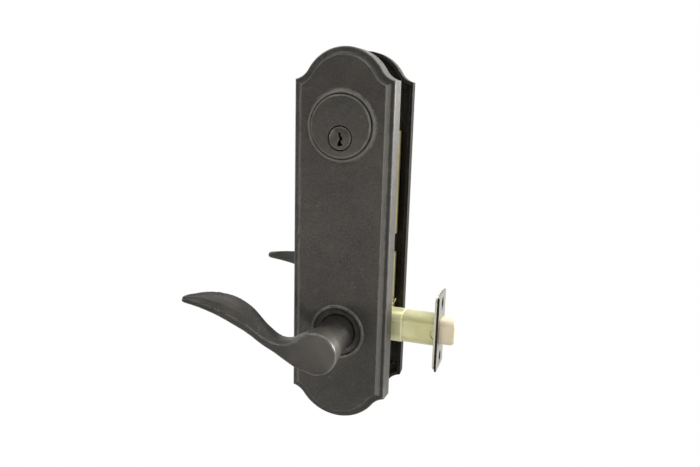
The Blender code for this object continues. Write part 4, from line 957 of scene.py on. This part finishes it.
PALE_STRIP = plated("pale_strip", ((0.66, 0.66, 0.56), (0.56, 0.56, 0.46)), 0.36, 0.6, 0.7, (1, 1, 0.1),
                    shade=backing_shade)
NICKEL = plated("satin_nickel", ((0.26, 0.25, 0.225), (0.18, 0.175, 0.155)), 0.34, 0.6, 0.8, (1, 1, 0.1),
                shade=face_shade)
for name, corner, opening_half, opening_corner, finish, slot in (
        ("latch_backing", 0.0064, (0.0096, 0.0115), 0.0061, PALE_STRIP, "pale_zinc"),
        ("latch_face", 0.0012, (0.0083, 0.0096), 0.0047, NICKEL, "satin_nickel")):
    back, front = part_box(name)[0].x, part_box(name)[1].x
    blank = prism(FACE_HALF, corner, ((back, -0.0001), (back + 0.0001, 0), (front - 0.0003, 0),
                                      (front - 0.0001, -0.0001), (front, -0.0003)))
    opening = prism(opening_half, opening_corner, ((back - 0.002, 0), (front + 0.002, 0)), 11)
    wells = [oval_well(hole_z, back, front) for hole_z in (HOLE_Z, -HOLE_Z)]
    plate = show(carve(blank, [("DIFFERENCE", tool) for tool in (opening, *wells)]), name + "_plate",
                 "lock_body", finish, (name,))
    crisp_flats(plate, 5e-5)

# Latch bolt. A cast bolt in matt plating slides in the tube; its end is rounded and its inside face is
# slanted, so that a closing door pushes it in. Every edge is a little soft from casting and plating.
BOLT_BACK, BOLT_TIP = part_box("latch_bolt")[0].x + 0.0001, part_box("latch_bolt")[1].x - 0.0012
BOLT_HALF = (0.0080, 0.0093)
BOLT_CORNER = 0.0045
BOLT_ROUND_LOW, BOLT_ROUND_HIGH = 0.0038, 0.0016
BOLT_CORNER_STEPS = 8
BOLT_VOXEL = 0.0003
BOLT_SOFTENING = 5
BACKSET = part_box("latch_face")[1].x
SLANT = 1.03
SLANT_START = BACKSET + 0.0010
SLANT_OVERCUT = 0.002
BOLT_METAL = plated("bolt_metal", ((0.74, 0.66, 0.49), (0.66, 0.59, 0.435)), 0.50, 0.6, 0.25)


def rounding(radius, short):
    """How far a rounded end has drawn in, a given length short of the tip."""
    past = max(0.0, radius - short)
    return radius - math.sqrt(radius ** 2 - past ** 2)


bolt_form = bmesh.new()
bolt_rings = [ring_along_x(bolt_form, BOLT_HALF, BOLT_CORNER, BOLT_BACK, BOLT_CORNER_STEPS)]
for short in (0.0038, 0.0028, 0.0020, 0.0015, 0.0011, 0.0008, 0.0005, 0.0003, 0.0001, 0.0):
    low_cut, high_cut = rounding(BOLT_ROUND_LOW, short), rounding(BOLT_ROUND_HIGH, short)
    half = (BOLT_HALF[0] - high_cut, BOLT_HALF[1] - (low_cut + high_cut) / 2)
    ring = ring_along_x(bolt_form, half, BOLT_CORNER - high_cut, BOLT_TIP - short, BOLT_CORNER_STEPS)
    bmesh.ops.translate(bolt_form, vec=(0, 0, (low_cut - high_cut) / 2), verts=ring)
    bolt_rings.append(ring)
bridged(bolt_form, bolt_rings)
slant_points = ((SLANT_START - SLANT_OVERCUT, BOLT_HALF[0] + SLANT_OVERCUT * SLANT),
                (BOLT_TIP + SLANT_OVERCUT, BOLT_HALF[0] - (BOLT_TIP + SLANT_OVERCUT - SLANT_START) * SLANT),
                (BOLT_TIP + SLANT_OVERCUT, BOLT_HALF[0] + SLANT_OVERCUT * SLANT))
wedge = bmesh.new()
bridged(wedge, [[wedge.verts.new((x, y, z)) for x, y in slant_points] for z in (-0.012, 0.012)])
bolt_cast = bmesh.new()
bolt_cast.from_mesh(carve(bolt_form, [("DIFFERENCE", wedge)]))
show(cast_over(bolt_cast, BOLT_VOXEL, BOLT_SOFTENING), "spring_bolt_head", "spring_bolt", BOLT_METAL,
     ("latch_bolt",), sharp=50)

# Springs. Small coils of plated wire lie by the steel sheets and turn the levers back; one of bare steel on
# the draw bar pushes the bolt out. The inside coil is longer and lies lower, and its end shows over the tube.
WIRE_RADIUS = 0.0005
WIRE_SIDES = 10
STEPS_PER_TURN = 32
YELLOW_ZINC = plated("yellow_zinc", ((0.70, 0.67, 0.46), (0.62, 0.55, 0.27)), 0.42, 0.8, 0.55, (1, 1, 0.15),
                     (0.50, 0.40, 0.08))
STEEL = plated("plain_steel", ((0.40, 0.39, 0.37), (0.30, 0.29, 0.27)), 0.36, 0.6, 0.85, (1, 0.1, 1))


def coil(name, turns, low, high, body, finish, slot, node):
    """A compression spring along X that fills a box, its wire swept round in small steps."""
    middle = (low + high) / 2
    start, end = low.x + WIRE_RADIUS, high.x - WIRE_RADIUS
    steps = turns * STEPS_PER_TURN
    bm = bmesh.new()
    ring = bmesh.ops.create_circle(bm, cap_ends=True, segments=WIRE_SIDES, radius=WIRE_RADIUS)["verts"]
    bmesh.ops.translate(bm, vec=(start, high.y - WIRE_RADIUS, middle.z), verts=ring)
    section = next(iter(bm.faces))
    bmesh.ops.spin(bm, geom=[section, *section.verts, *section.edges], axis=(1, 0, 0),
                   angle=2 * math.pi * turns, cent=(0, middle.y, middle.z), steps=steps,
                   dvec=((end - start) / steps, 0, 0), use_merge=False)
    show(bm, name, body, finish, (node,), sharp=60)


for side, reach, drop in (("exterior", 0.0, 0.0), ("interior", 0.0035, 0.0045)):
    low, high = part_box(side + "_return_spring")
    coil(side + "_return_coil", 7, low - Vector((0, 0, drop)), high + Vector((reach, 0, -drop)), "lock_body",
         YELLOW_ZINC, "yellow_zinc", side + "_return_spring")
coil("bolt_coil", 6, *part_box("latch_spring"), "spring_bolt", STEEL, "plain_steel", "latch_spring")

# Screws. Turned steel pan-head screws with one straight driver slot hold the plates, the sheets and the
# cylinder. Those that show in the inside plate are coated like it, and the hidden ones are yellow plated.
HEAD_HEIGHT = 0.0022
SLOT_DEPTH = 0.0009
SLOT_HALF = (0.006, 0.0005)
for kind, tags, head, shank, finish, slot in (
        ("plate_screw_", ("upper", "lower"), 0.0040, 0.0019, CYLINDER_BRONZE, "dark_bronze"),
        ("chassis_screw_", ("upper", "lower"), 0.0040, 0.0019, YELLOW_ZINC, "yellow_zinc"),
        ("cylinder_bolt_", ("left", "right"), 0.0034, 0.0019, YELLOW_ZINC, "yellow_zinc"),
        ("through_bolt_", ("upper", "lower"), 0.0040, 0.0022, YELLOW_ZINC, "yellow_zinc")):
    for tag in tags:
        low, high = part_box(kind + tag)
        x, z = (low.x + high.x) / 2, (low.z + high.z) / 2
        profile = [(head * share, high.y - fall) for share, fall in (
            (0, 0), (0.45, 0.00005), (0.75, 0.0004), (0.93, 0.0010), (1, 0.0017), (1, HEAD_HEIGHT))]
        profile += [(shank, high.y - HEAD_HEIGHT), (shank, low.y), (0, low.y)]
        driver_slot = box_shape((x - SLOT_HALF[0], high.y - SLOT_DEPTH, z - SLOT_HALF[1]),
                                (x + SLOT_HALF[0], high.y + 0.001, z + SLOT_HALF[1]))
        show(carve(turned(profile, x=x, z=z, steps=40), [("DIFFERENCE", driver_slot)]),
             kind + tag + "_turned", "lock_body", finish, (kind + tag,))

# Inside steel sheet. It is blanked and folded from yellow chromated steel, and its tabs on the latch side
# show as two bright strips in the gap between the plates. The solid's loose triangles are welded first.
TAB_START = 0.024
TAB_REACH = 0.0007
inside_sheet = bmesh.new()
inside_sheet.from_mesh(nodes["interior_chassis"].data)
bmesh.ops.remove_doubles(inside_sheet, verts=inside_sheet.verts, dist=WELD)
for vert in inside_sheet.verts:
    if vert.co.x > TAB_START:
        vert.co.x += TAB_REACH
show(inside_sheet, "inside_sheet", "lock_body", YELLOW_ZINC, ("interior_chassis",))

# Outside sheet, bearings, clips, spindle, hub and draw bar. The sheet shows in the gap from behind and the
# rest is hidden, so their plain solids stay, in yellow plate, the dark coat and bare steel.
for finish, names in (
        (YELLOW_ZINC, ("exterior_chassis",)),
        (CYLINDER_BRONZE, ("exterior_bearing", "interior_bearing")),
        (STEEL, ("turn_blade", "exterior_set_screw", "interior_set_screw", "exterior_clip", "interior_clip",
                 "spindle", "latch_hub", "draw_bar"))):
    for name in names:
        nodes[name].data.materials.clear()
        nodes[name].data.materials.append(finish)
